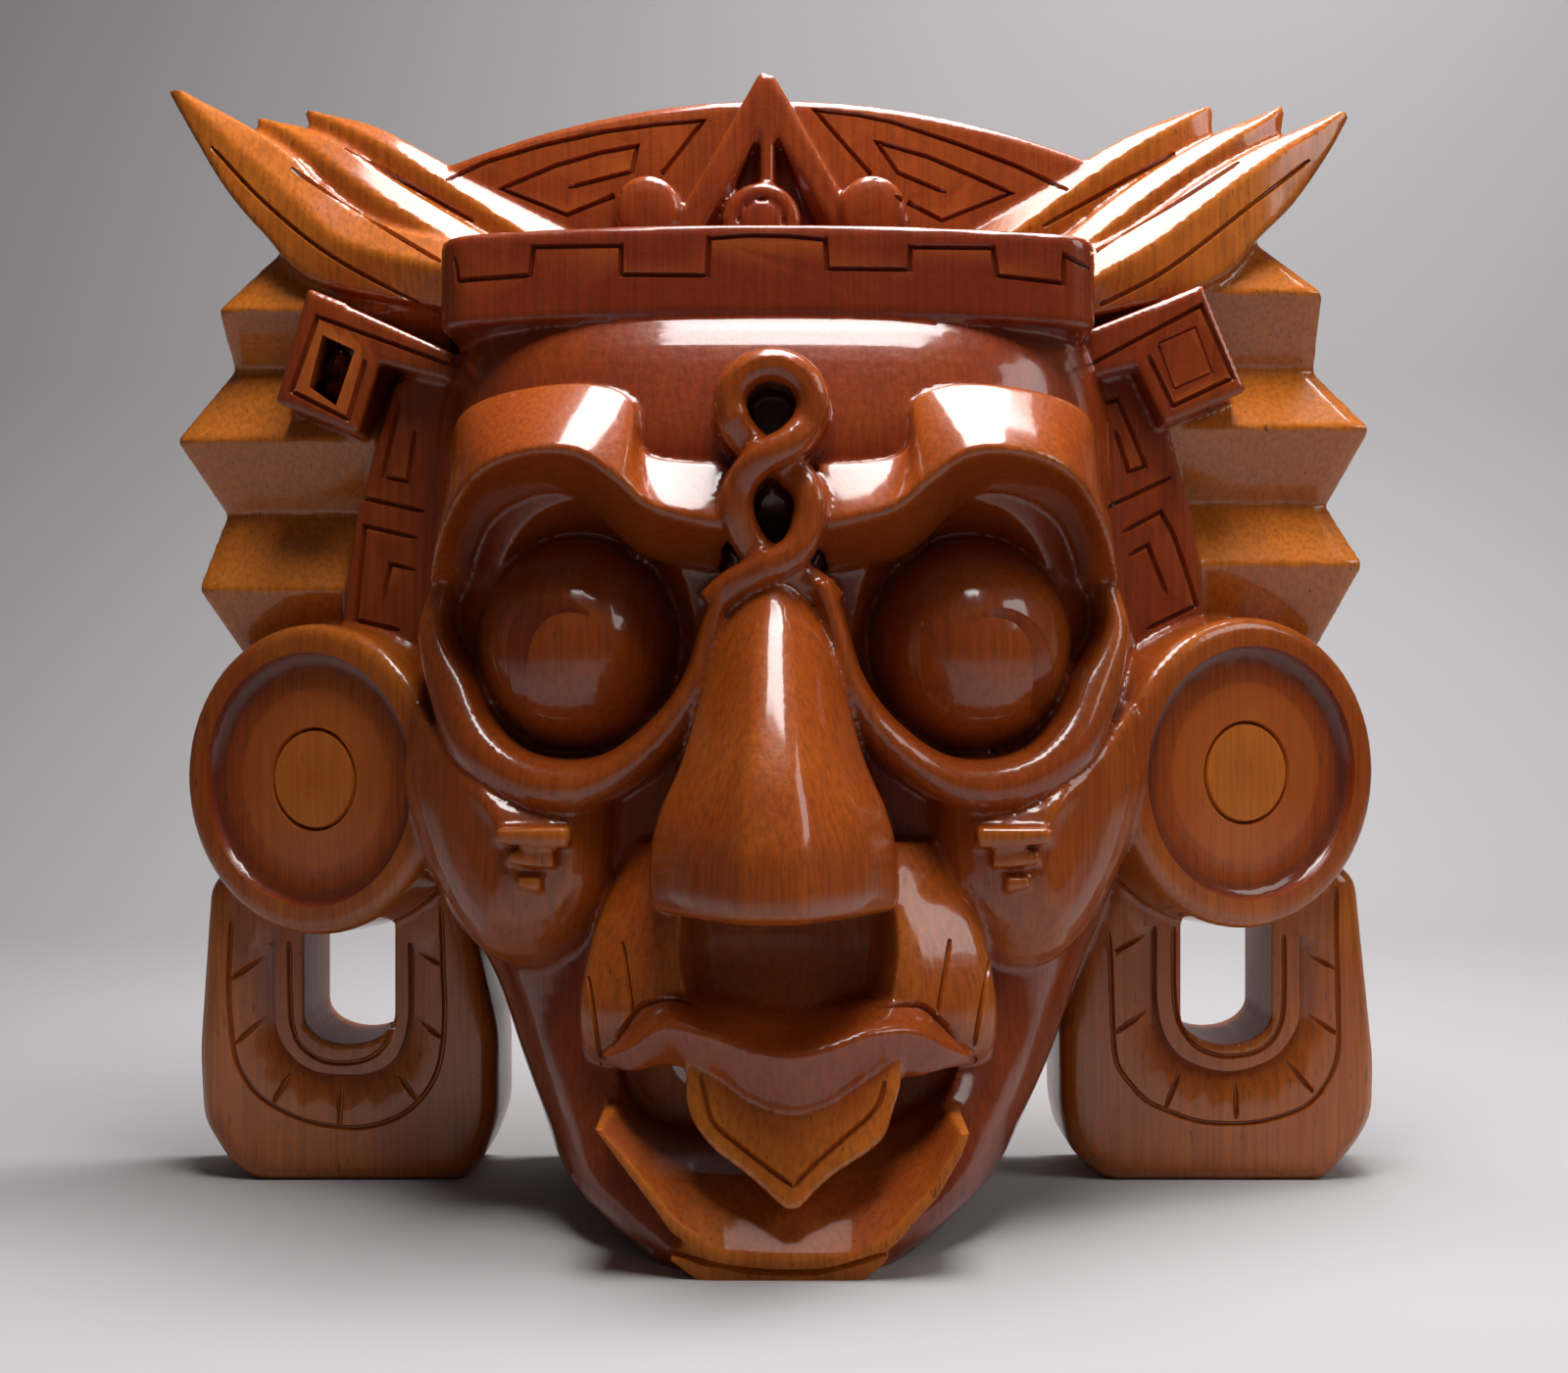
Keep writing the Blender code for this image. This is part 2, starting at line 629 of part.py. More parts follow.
def disc(group, side):
    """A turned disc on a drum that runs to the back, with a rim round its sunk face."""
    turn = math.radians(DISC_TURN)
    x0, d0, z0 = DISC_CENTRES[0 if side < 0 else 1]
    sunk = DISC_RADIUS - RIM_WIDTH
    layers = ((DISC_RADIUS, None), (DISC_RADIUS, -DISC_THICKNESS), (DISC_RADIUS, -2.5),
              (DISC_RADIUS - 2.0, 0.0), (sunk, 0.0), (sunk - 1.0, -RIM_STEP))
    rings = []
    for radius, forward in layers:
        ring = []
        for i in range(ROUND_STEPS * 2):
            angle = math.tau * i / (ROUND_STEPS * 2)
            across = radius * math.cos(angle)
            rise = -DISC_THICKNESS if forward is None else forward
            x = x0 + across * math.cos(turn) + rise * math.sin(turn)
            d = d0 - across * math.sin(turn) + rise * math.cos(turn)
            ring.append((x, BEHIND if forward is None else d, z0 + radius * math.sin(angle)))
        rings.append(mirrored(ring, side))
    loft("ear disc %+d" % side, group, rings)


PENDANTS = {
    -1: ((138, PENDANT_TOP), (153.5, 80), (156.5, 35), (155.5, 16), (148, 4), (141, FOOT), (85, FOOT), (80, 4),
         (75.3, 16), (75.3, 39), (84, 76), (96, PENDANT_TOP)),
    1: ((140, PENDANT_TOP), (158, 82), (163, 32), (162.6, 17), (158, 9), (149, FOOT), (90, FOOT), (80, 8),
        (77.6, 18), (77.6, 41), (86, 76), (96, PENDANT_TOP)),
}


def pendant(group, side):
    slab("pendant %+d" % side, group, mirrored(PENDANTS[side], side), BEHIND, PENDANT_THICKNESS, PENDANT_EDGE)


def slot(group, index):
    """The slot in a pendant: straight sides, a round foot, and its top behind the disc."""
    centre = SLOT_CENTRES[index]
    half = SLOT_WIDTH / 2
    round_ = SLOT_WIDTH / 3
    outline = [(centre - half, SLOT_TOP), (centre + half, SLOT_TOP)]
    for i in range(9):
        turn = -math.pi * i / 8
        outline.append((centre + half * math.cos(turn), SLOT_BOTTOM + round_ + round_ * math.sin(turn)))
    depths = (BEHIND * 3, PENDANT_THICKNESS * 1.8)
    loft("slot %d" % index, group, [[(x, d, z) for x, z in outline] for d in depths])


def group(name):
    collection = bpy.data.collections.new(name)
    bpy.context.scene.collection.children.link(collection)
    return collection


def boolean(thing, operation, collection):
    modifier = thing.modifiers.new(collection.name, 'BOOLEAN')
    modifier.operation = operation
    modifier.operand_type = 'COLLECTION'
    modifier.collection = collection
    modifier.solver = 'EXACT'
    return modifier


def build():
    for thing in list(bpy.data.objects):
        bpy.data.objects.remove(thing)
    rough = group("rough forms")
    sunk = group("sunk places")
    raised = group("raised forms")
    open_ = group("open places")

    base = group("blank")
    head(base)
    blank = base.objects[0]
    crown(rough)
    headband(rough)
    board(rough)
    for side in (-1, 1):
        panel(rough, side)
        fan(rough, side)
        pendant(rough, side)
        feathers(rough, side)
        cheek(rough, side)
    muzzle(rough)
    jaw(rough)
    peak(rough)

    for side in (-1, 1):
        ball("socket %+d" % side, sunk, (side * SOCKET_CENTRE[0],) + SOCKET_CENTRE[1:], SOCKET_RADII, ROUND_STEPS)
    philtrum(sunk)
    mouth(sunk)
    mouthGap(open_)
    peakSink(sunk)
    for index in (0, 1):
        slot(sunk, index)

    for side in (-1, 1):
        disc(raised, side)
        hook(raised, open_, side)
        ball("eye %+d" % side, raised, (side * EYE_CENTRE[0],) + EYE_CENTRE[1:], EYE_RADII, ROUND_STEPS)
        brow(raised, side)
        eyeBand(raised, side)
        cheekBars(raised, side)
    nose(raised)
    twist(raised)
    upperLip(raised)
    tongue(raised)
    knobs(raised)

    hollow(open_)
    wide = CROWN_HALF_WIDTH * 3
    box("behind the back", open_, (-wide, -REACH, -REACH), (wide, 0, PEAK_TOP + REACH))
    box("under the foot", open_, (-wide, -REACH * 1.5, -REACH), (wide, NOSE_DEPTH + REACH, 0))

    blank.name = "mask"
    blank.data.name = "mask"
    blank.hide_render = False
    blank.display_type = 'TEXTURED'
    blank.data.materials.append(woodMaterial())
    boolean(blank, 'UNION', rough)
    boolean(blank, 'DIFFERENCE', sunk)
    boolean(blank, 'UNION', raised)
    boolean(blank, 'DIFFERENCE', open_)
    seat(blank)


def seat(mask):
    """Bring the middle of the underside of the finished mask to the origin."""
    bpy.context.view_layer.update()
    finished = mask.evaluated_get(bpy.context.evaluated_depsgraph_get()).to_mesh()
    low = [min(vert.co[axis] for vert in finished.vertices) for axis in range(3)]
    high = [max(vert.co[axis] for vert in finished.vertices) for axis in range(3)]
    seatPoint = bpy.data.objects.new("underside", None)
    bpy.context.scene.collection.objects.link(seatPoint)
    seatPoint.location = (-(low[0] + high[0]) / 2, -(low[1] + high[1]) / 2, -low[2])
    for form in bpy.data.objects:
        if form.type == 'MESH':
            form.parent = seatPoint


build()
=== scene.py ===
import math

import bmesh
import bpy
import numpy as np
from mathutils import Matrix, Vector, noise
from mathutils.bvhtree import BVHTree


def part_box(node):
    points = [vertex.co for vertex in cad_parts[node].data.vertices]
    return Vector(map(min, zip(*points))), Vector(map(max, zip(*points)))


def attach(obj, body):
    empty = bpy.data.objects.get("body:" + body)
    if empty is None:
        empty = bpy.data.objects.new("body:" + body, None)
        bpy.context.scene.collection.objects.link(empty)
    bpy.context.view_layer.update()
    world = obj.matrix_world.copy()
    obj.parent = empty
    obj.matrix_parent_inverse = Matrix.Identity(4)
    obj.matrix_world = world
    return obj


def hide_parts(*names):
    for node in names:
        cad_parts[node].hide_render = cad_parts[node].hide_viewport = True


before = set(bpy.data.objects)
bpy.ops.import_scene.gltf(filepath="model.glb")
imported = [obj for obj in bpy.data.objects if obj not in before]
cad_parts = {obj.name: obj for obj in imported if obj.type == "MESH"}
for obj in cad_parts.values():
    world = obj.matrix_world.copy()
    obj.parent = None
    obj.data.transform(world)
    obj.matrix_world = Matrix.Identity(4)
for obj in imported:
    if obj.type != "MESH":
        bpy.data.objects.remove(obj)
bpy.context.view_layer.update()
print("frame loaded")

mm = 0.001
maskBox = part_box("mask")
leftEdge, backPlane = maskBox[0][0], maskBox[1][1]
behind = -6.0  # every form starts behind the back plane
below = -4.0  # and the feet below the floor, then both are cut flat

carving = {"voxel": 0.85, "smoothing": 2, "keptFaces": 185000, "leftReach": 166.5}


def at(x, d, z):  # millimetres: right, in front of the back, up
    return Vector((leftEdge + (x + carving["leftReach"]) * mm, backPlane - d * mm, z * mm))


def lerp(a, b, t):
    return a + (b - a) * t


def curve(points, steps):  # a smooth line through a few points
    rows = [np.array(p, dtype=float) for p in points]
    rows = [2 * rows[0] - rows[1]] + rows + [2 * rows[-1] - rows[-2]]
    out = []
    for a, b, c, d in zip(rows, rows[1:], rows[2:], rows[3:]):
        for i in range(steps):
            t = i / steps
            out.append(0.5 * (2 * b + (c - a) * t + (2 * a - 5 * b + 4 * c - d) * t * t
                              + (3 * b - a - 3 * c + d) * t ** 3))
    out.append(rows[-2])
    return out


def eased(points, radius, closed=False):  # corners rounded, each cut back by at most radius
    pts = [np.array(p, dtype=float) for p in points]
    radii = radius if isinstance(radius, (list, tuple)) else [radius] * len(pts)
    out = []
    for i, p in enumerate(pts):
        if (not closed and i in (0, len(pts) - 1)) or radii[i] <= 0:
            out.append(p)
            continue
        a, b = pts[i - 1] - p, pts[(i + 1) % len(pts)] - p
        la, lb = np.linalg.norm(a), np.linalg.norm(b)
        length = min(radii[i], 0.45 * la, 0.45 * lb)
        start, end = p + a / la * length, p + b / lb * length
        out += [(1 - t) ** 2 * start + 2 * t * (1 - t) * p + t * t * end for t in (0, 0.25, 0.5, 0.75, 1)]
    return out


def mirrored(points, side):
    return [(p[0] * side,) + tuple(p[1:]) for p in points]


def meshOf(bm, name):
    mesh = bpy.data.meshes.new(name)
    bm.to_mesh(mesh)
    bm.free()
    return mesh


def placed(name, data):
    thing = bpy.data.objects.new(name, data)
    bpy.context.scene.collection.objects.link(thing)
    return thing


stainedForms = []  # every form with the name of its stain


def keep(bm, stain, group):  # one finished form, facing outwards
    bmesh.ops.remove_doubles(bm, verts=bm.verts, dist=0.00001)
    bmesh.ops.recalc_face_normals(bm, faces=bm.faces)
    mesh = meshOf(bm, stain)
    if stain != "groove":
        stainedForms.append((stain, mesh))
    group.append(mesh)


def loft(rings, stain, group, place=at, ease=0, steps=3):  # a face is extruded from ring to ring
    bm = bmesh.new()
    first = [bm.verts.new(place(*p)) for p in rings[0]]
    face = bm.faces.new(first)
    for ring in rings[1:]:
        face = bmesh.ops.extrude_discrete_faces(bm, faces=[face])["faces"][0]
        for vert, p in zip(face.verts, ring):
            vert.co = place(*p)
    bmesh.ops.holes_fill(bm, edges=bm.edges, sides=0)
    if ease:  # and the edges of the last one are rounded
        bmesh.ops.recalc_face_normals(bm, faces=bm.faces)
        bmesh.ops.bevel(bm, geom=list(face.edges), offset=ease * mm, segments=steps, profile=0.5,
                        affect='EDGES', offset_type='OFFSET', clamp_overlap=True, material=-1)
    bm.normal_update()
    bmesh.ops.triangulate(bm, faces=[f for f in bm.faces if len(f.verts) > 4])
    keep(bm, stain, group)


def level(x, z):
    return 0


def slab(outline, back, front, ease, stain, group, steps=3, tilt=level, tiltBack=level):
    rings = [[(x, d + turn(x, z), z) for x, z in outline] for d, turn in ((back, tiltBack), (front, tilt))]
    loft(rings, stain, group, ease=ease, steps=steps)


def ball(centre, radii, stain, group, steps=48):
    bm = bmesh.new()
    bmesh.ops.create_uvsphere(bm, u_segments=steps, v_segments=steps // 2, radius=1.0)
    for vert in bm.verts:
        x, y, z = vert.co
        vert.co = at(centre[0] + x * radii[0], centre[1] - y * radii[1], centre[2] + z * radii[2])
    keep(bm, stain, group)


def swung(centre, turn, across, forward, up):  # a place on a form that is turned about the upright
    angle = math.radians(turn)
    return (centre[0] + across * math.cos(angle) + forward * math.sin(angle),
            centre[1] - across * math.sin(angle) + forward * math.cos(angle), centre[2] + up)


def turned(profile, centre, turn, side, stain, group, steps=96):  # spun round an axis that looks forward
    bm = bmesh.new()
    verts = [bm.verts.new((radius * mm, 0, forward * mm)) for radius, forward in profile]
    edges = [bm.edges.new(pair) for pair in zip(verts, verts[1:])]
    bmesh.ops.spin(bm, geom=verts + edges, cent=(0, 0, 0), axis=(0, 0, 1), dvec=(0, 0, 0),
                   angle=math.tau, steps=steps, use_merge=True, use_duplicate=False)
    bmesh.ops.remove_doubles(bm, verts=bm.verts, dist=0.00001)
    for vert in bm.verts:
        across, up, forward = [c / mm for c in vert.co]
        x, d, z = swung(centre, turn, across, forward, up)
        vert.co = at(x * side, d, z)
    keep(bm, stain, group)


rough, sunk, raised = [], [], []

# Head, from the forehead under the band down to the chin
head = {
    "sections": ((236, 83, 66, 0), (222, 87, 80, 0), (205, 91, 86, 0), (188, 92.5, 88, 0), (165, 94, 82, 0),
                 (145, 98, 80, 0), (120, 100, 82, 0), (95, 95, 84, 0.5), (75, 88, 84, 2), (57, 79, 88, 3.2),
                 (40, 72, 97, 3.2), (25, 64.5, 107, 2.5), (13, 57.5, 116, 1.5), (4, 46, 122, 1),
                 (below, 32, 125, 0)),
    "squareness": 0.55,
}


def headRing(z, half, depth, back, count, power):
    ring = []
    for i in range(count + 1):
        turn = math.pi * i / count
        ring.append((half * math.copysign(abs(math.cos(turn)) ** power, math.cos(turn)),
                     back + (depth - back) * math.sin(turn) ** power, z))
    return ring


def carveHead():
    rows = curve(head["sections"], 4)
    rings = []
    for z, w, d, shift in rows:
        ring = headRing(z, w, d, behind, 48, head["squareness"])
        rings.append([(x + shift, depth, z) for x, depth, z in ring])
    loft(rings, "head", rough)


# Brows: top, crest and underside in (x, z), then their three depths
brows = {
    "stations": (
        ((86, 176), (86, 160), (87, 155), 64, 76, 58), ((81.5, 186), (82, 169), (79, 157), 74, 90, 64),
        ((79, 198), (75, 179), (76, 167), 82, 101, 70), ((72, 203.5), (67, 185.5), (70, 176), 87, 107, 74),
        ((58, 206.5), (56, 188.5), (57, 180.5), 91, 110, 78), ((43, 207), (46, 188), (46, 178), 92, 110, 80),
        ((34, 202.5), (37, 182.5), (38, 170), 93, 109, 80), ((31, 190), (28, 175.5), (30, 165), 95, 107, 82),
        ((11, 187), (11, 171), (13, 162), 97, 104, 85)),
    "back": 52,
}


def carveBrow(side):
    flat = [top + crest + under + (a, b, c) for top, crest, under, a, b, c in brows["stations"]]
    rings = []
    for tx, tz, cx, cz, ux, uz, td, cd, ud in curve(flat, 6):
        middle = (lerp(tx, cx, 0.55), lerp(td, cd, 0.6), lerp(tz, cz, 0.55))
        profile = eased([(tx, brows["back"], tz), (tx, td, tz), middle, (cx, cd, cz), (ux, ud, uz),
                         (ux, brows["back"], uz)], [0, 1.2, 8, 3.0, 2.5, 0])
        rings.append(mirrored(profile, side))
    loft(rings, "brow", raised)


# Eyes bulge in deep sockets
eyes = {"centre": (49.0, 64.0, 143.5), "radii": (26.5, 32.0, 28.5),
        "socket": (49.0, 98.0, 146.0), "socketRadii": (33.0, 40.0, 36.0)}


def carveEye(side):
    x, d, z = eyes["centre"]
    ball((x * side, d, z), eyes["radii"], "eye", raised)
    x, d, z = eyes["socket"]
    ball((x * side, d, z), eyes["socketRadii"], "socket", sunk)


# The band that runs under each eye and up beside the nose: inner edge, outer edge, depth
eyeBand = {
    "stations": (((80, 160), (88, 158), 74), ((81, 149), (90, 147), 78), ((75, 138), (86, 131), 84),
                 ((70, 127), (79, 115), 90), ((62, 119), (65, 104.5), 95), ((51, 116), (51, 102), 98),
                 ((40, 118), (38, 106.5), 99), ((28.5, 127), (24, 117.5), 101), ((21.5, 137), (15, 131), 104),
                 ((18, 148), (11.5, 145), 105), ((14.5, 160), (8, 157), 106)),
    "back": 52,
}


def carveEyeBand(side):
    rings = []
    for ix, iz, ox, oz, depth in curve([a + b + (c,) for a, b, c in eyeBand["stations"]], 6):
        shares = ((0, eyeBand["back"]), (0, depth - 7), (0.2, depth - 1.5), (0.5, depth), (0.8, depth - 1.8),
                  (1, depth - 7), (1, eyeBand["back"]))
        profile = eased([(lerp(ix, ox, s), d, lerp(iz, oz, s)) for s, d in shares], [0, 2.5, 3, 4, 3, 2.5, 0])
        rings.append(mirrored(profile, side))
    loft(rings, "eye band", raised)


# Nose: z, half width, depth of the ridge, depth of the side
nose = {
    "stations": ((165, 3, 98, 95), (160, 5, 104, 99), (153, 9, 110, 102), (144, 13.5, 118, 104),
                 (128, 18, 129, 107),
                 (115, 22, 137, 110), (106, 26, 141, 112), (97, 28.5, 144, 113), (87, 29, 145, 114),
                 (83, 28.6, 144, 113)),
    "base": 78,
}


def carveNose():
    rings = []
    for z, half, ridge, side in curve(nose["stations"], 5):
        profile = [(half, nose["base"]), (half, side), (half * 0.66, lerp(side, ridge, 0.55)),
                   (half * 0.26, ridge - 0.6), (0, ridge), (-half * 0.26, ridge - 0.6),
                   (-half * 0.66, lerp(side, ridge, 0.55)), (-half, side), (-half, nose["base"])]
        ring = eased([(x, d, z) for x, d in profile], [0, 3, 7, 3, 1.5, 3, 7, 3, 0])
        rings.append(ring)
    last = rings[-1]
    rings.append([(x * 0.97, d if d < 80 else d - 3, 81.4) for x, d, z in last])
    rings.append([(x * 0.9, d if d < 80 else d - 9, 80.6) for x, d, z in last])
    loft(rings, "nose", raised)


muzzle = {"sections": ((96, 38, 98), (78, 46, 107), (60, 50, 112), (48, 50, 110), (40, 47, 98), (32, 42, 86)),
          "shift": 3.5, "base": 62,
          "sunk": ((84, -18, 25, 90), (70, -17, 24, 91), (54, -14, 22, 98)), "steepness": 3.0}


def carveMuzzle():
    rings = []
    for z, half, depth in curve(muzzle["sections"], 5):
        profile = [(-1, muzzle["base"]), (-1, depth - 14), (-0.6, depth - 3), (0, depth), (0.6, depth - 3),
                   (1, depth - 14), (1, muzzle["base"])]
        ring = eased([(half * s + muzzle["shift"], d, z) for s, d in profile], [0, 4, 6, 4, 6, 4, 0])
        rings.append(ring)
    loft(rings, "muzzle", rough)
    rings = []
    for z, left, right, floor in curve(muzzle["sunk"], 4):
        spread = (160 - floor) / muzzle["steepness"]
        profile = [(left - spread, 160, z), (left, floor, z), (right, floor, z), (right + spread, 160, z)]
        rings.append(eased(profile, [0, 7, 7, 0]))
    loft(rings, "muzzle", sunk)


# Lips: x, then z of top, ridge and lower edge, then the depth of the ridge
lips = {
    "stations": ((-41, 46.8, 45.5, 43.5, 104), (-33, 55.5, 50, 43.5, 114), (-25, 61.8, 56, 46, 120),
                 (-14, 59.8, 54.5, 45, 124), (-5, 57.5, 52, 40, 127), (4, 55.5, 51, 37.5, 128),
                 (13, 57.3, 52.5, 39.5, 127), (22, 59.8, 55, 44, 124), (33, 60, 54.5, 43, 118),
                 (41, 54, 49.5, 44, 112), (48, 46.8, 45.5, 43.5, 104)),
    "back": 86,
}
mouth = {  # outlines at its back, half way and at its front
    "inner": ((-38, 46), (-36.5, 37), (-32, 30), (-25, 27), (-19, 26.4), (-10, 26), (10, 26), (20, 26.6),
              (28, 28),
              (36, 32), (43, 38), (46, 46), (30, 50), (-25, 50)),
    "middle": ((-40, 46), (-38, 34), (-33, 29), (-27.5, 24), (-20.5, 21), (-10, 20), (11, 20), (19, 20.4),
               (27, 21.6),
               (36, 26), (41, 32.5), (47.5, 46), (30, 51), (-25, 51)),
    "front": ((-41, 46), (-38.5, 33.4), (-33, 28), (-26.4, 19.4), (-21.2, 12.4), (-12, 6), (12, 5.2),
              (19.4, 5.8),
              (26, 9.8), (35.2, 20.2), (40.5, 29), (48, 46), (30, 52), (-25, 52)),
    "layers": ((0, 87), (0.55, 100), (1, 112), (1.2, 117), (1.5, 122.5), (2, 129.4), (2, 165)),
    "gap": (-14, 46, 12), "gapBack": 52, "gapFront": 103,
}
tongue = {"outline": ((-20, 52), (-20, 39), (-18.3, 34.4), (-14, 29), (-5.4, 23.3), (4.4, 14.8), (12.1, 22.6),
                      (21.4, 28), (25.7, 31.3), (27.3, 36.5), (29.5, 42.5), (29.5, 52)),
          "root": 117, "tip": 131, "thickness": 14}
jaw = {"outline": ((-40.5, 34.6), (-34.9, 27), (-28.2, 18.2), (-22.9, 10.8), (-13, 3.6), (-1.2, 3), (20, 3),
                   (27.6, 8), (37.2, 18.8), (42.6, 28.2), (44.6, 33.6)),
       "back": 85, "front": 129,
       "strap": ((-22, 7), (-23.5, 4.5), (-12, below), (16, below), (26.5, 4.5), (25, 7.5)),
       "strapFront": 127.5}


def carveMouth():
    rings = []
    for x, top, ridge, low, depth in curve(lips["stations"], 6):
        profile = [(x, lips["back"], top), (x, depth - 12, top), (x, depth - 4, lerp(top, ridge, 0.6)),
                   (x, depth, ridge), (x, depth - 4, low), (x, lips["back"], low)]
        rings.append(eased(profile, [0, 3, 4, 1.6, 1.5, 0]))
    loft(rings, "lips", raised)
    outlines = [eased(mouth[name], 3.0, closed=True) for name in ("inner", "middle", "front")]
    rings = []
    for stage, d in mouth["layers"]:  # the floor of the mouth slopes out to the foot of the jaw
        first, second = outlines[min(int(stage), 1)], outlines[min(int(stage), 1) + 1]
        share = stage - min(int(stage), 1)
        rings.append([(lerp(a[0], b[0], share), d, lerp(a[1], b[1], share)) for a, b in zip(first, second)])
    loft(rings, "mouth", sunk)
    top = max(z for x, z in tongue["outline"])
    tip = min(z for x, z in tongue["outline"])

    def forward(x, z):  # the tongue comes forward towards its tip
        return (tongue["tip"] - tongue["root"]) * (top - z) / (top - tip)

    slab(eased(tongue["outline"], 4.0), tongue["root"] - tongue["thickness"], tongue["root"], 1.4,
         "tongue", raised, tilt=forward, tiltBack=forward)
    slab(jaw["outline"], jaw["back"], jaw["front"], 1.2, "jaw", rough)
    slab(jaw["strap"], jaw["back"], jaw["strapFront"], 0.8, "jaw", rough)


cheeks = {
    "outline": ((93, 133), (97, 110), (90, 90), (80, 73), (68, 64), (56, 63), (45, 70), (39, 81), (37, 95),
                (37, 112), (50, 108), (64, 110), (80, 120)),
    "layers": ((1.0, 40), (1.0, 72), (0.985, 77), (0.94, 82.5), (0.86, 87.5), (0.74, 91), (0.6, 93.5),
               (0.4, 95),
               (0.2, 95.5)),
    "flank": 72, "flankWidth": 23, "fall": 18, "wall": 70,  # the outer flank falls back
    "bars": ((48.6, 66.3, 95.2, 100.1, 100.5), (52.4, 63.7, 90.2, 94.4, 99), (55.6, 61.4, 84.4, 88.2, 98)),
}


def carveCheek(side):
    outline = eased(cheeks["outline"], 6.0, closed=True)
    midX = sum(p[0] for p in outline) / len(outline)
    midZ = sum(p[1] for p in outline) / len(outline)
    rings = []
    for share, depth in cheeks["layers"]:
        ring = []
        for x, z in outline:
            fall = max(0.0, (x - cheeks["flank"]) / cheeks["flankWidth"]) * cheeks["fall"]
            fall = fall * share if depth > cheeks["wall"] else 0.0
            ring.append((lerp(midX, x, share), depth - fall, lerp(midZ, z, share)))
        rings.append(mirrored(ring, side))
    loft(rings, "cheek", rough)
    for inner, outer, low, high, depth in cheeks["bars"]:
        outline = mirrored([(inner, low), (outer, low + 1), (outer, high), (inner, high)], side)
        slab(outline, nose["base"], depth, 0.5, "cheek", raised)


# The strand that winds down the brow
strand = {
    "width": 8.0, "base": 78,
    "loop": 9.8, "centre": (-0.5, 200.5), "loopDepth": 110, "loopBase": 76, "loopStart": -28, "loopTurn": 236,
    "over": ((8.6, 196, 110), (4, 191, 112), (-3, 187, 112), (-8, 181, 109), (-8.4, 174, 108),
             (-5, 167, 106), (1, 162, 105), (9, 158, 104), (14, 153, 103)),
    "under": ((-9.6, 196, 110), (-5, 191, 107), (3, 186, 105), (8.2, 180, 108), (8.4, 173, 109),
              (5.5, 166, 110), (-1, 162, 110), (-9, 158, 107), (-15, 153, 104)),
}


def ribbon(path, width, base, stain, group):
    rings = []
    for i, (x, z, depth) in enumerate(path):
        before, after = path[max(i - 1, 0)], path[min(i + 1, len(path) - 1)]
        along = Vector((after[0] - before[0], after[1] - before[1])).normalized()
        across = Vector((-along.y, along.x)) * width / 2
        half = ((1, base), (1, depth - 3.5), (0.75, depth - 1.1), (0.35, depth - 0.1))
        section = mirrored(half, -1) + list(half[::-1])
        rings.append([(x + across.x * s, d, z + across.y * s) for s, d in section])
    loft(rings, stain, group)


def carveStrand():
    cx, cz = strand["centre"]
    loop = []
    for i in range(49):
        turn = math.radians(strand["loopStart"] + strand["loopTurn"] * i / 48)
        loop.append((cx + strand["loop"] * math.cos(turn), cz + strand["loop"] * 0.92 * math.sin(turn),
                     strand["loopDepth"]))
    ribbon(loop, strand["width"], strand["loopBase"], "strand", raised)
    for name in ("over", "under"):
        ribbon(curve(strand[name], 6), strand["width"], strand["base"], "strand", raised)


# Headband and crown
band = {"height": 23, "halfWidth": 82.5, "shift": -1.6, "depth": 78, "corner": 9, "base": 223, "arc": 3}
crown = {"halfWidth": 99, "rise": 22, "top": 294.5, "thickness": 26}
peak = {"halfWidth": 24, "top": 298, "depth": 40, "rim": 6.5, "shift": -2.0}
knobs = {"places": (-34.0, 26.0), "height": 261, "radius": 9, "depth": 42, "boss": (-3.5, 257.5, 10.5)}


def bandArc(x):
    return band["arc"] * (1 - (x / band["halfWidth"]) ** 2)


def carveBand():
    corner = band["corner"]
    plan = [(-band["halfWidth"], behind)]
    for side in (-1, 1):
        turns = [90 * i / 10 for i in range(11)]
        for turn in (turns if side < 0 else turns[::-1]):
            a = math.radians(turn)
            plan.append((side * (band["halfWidth"] - corner + corner * math.cos(a)),
                         band["depth"] - corner + corner * math.sin(a)))
        if side < 0:
            plan += [(lerp(-band["halfWidth"] + corner, band["halfWidth"] - corner, i / 24), band["depth"])
                     for i in range(1, 24)]
    plan.append((band["halfWidth"], behind))
    rings = []
    h = band["height"]
    for height, inset in ((0, 1.2), (0.4, 0.4), (1.4, 0), (h - 1.8, 0), (h - 0.5, 0.5), (h, 1.6)):
        share = 1 - inset / band["halfWidth"]
        rings.append([(x * share + band["shift"], d - inset if d > 0 else d, band["base"] + height + bandArc(x))
                      for x, d in plan])
    loft(rings, "band", rough)


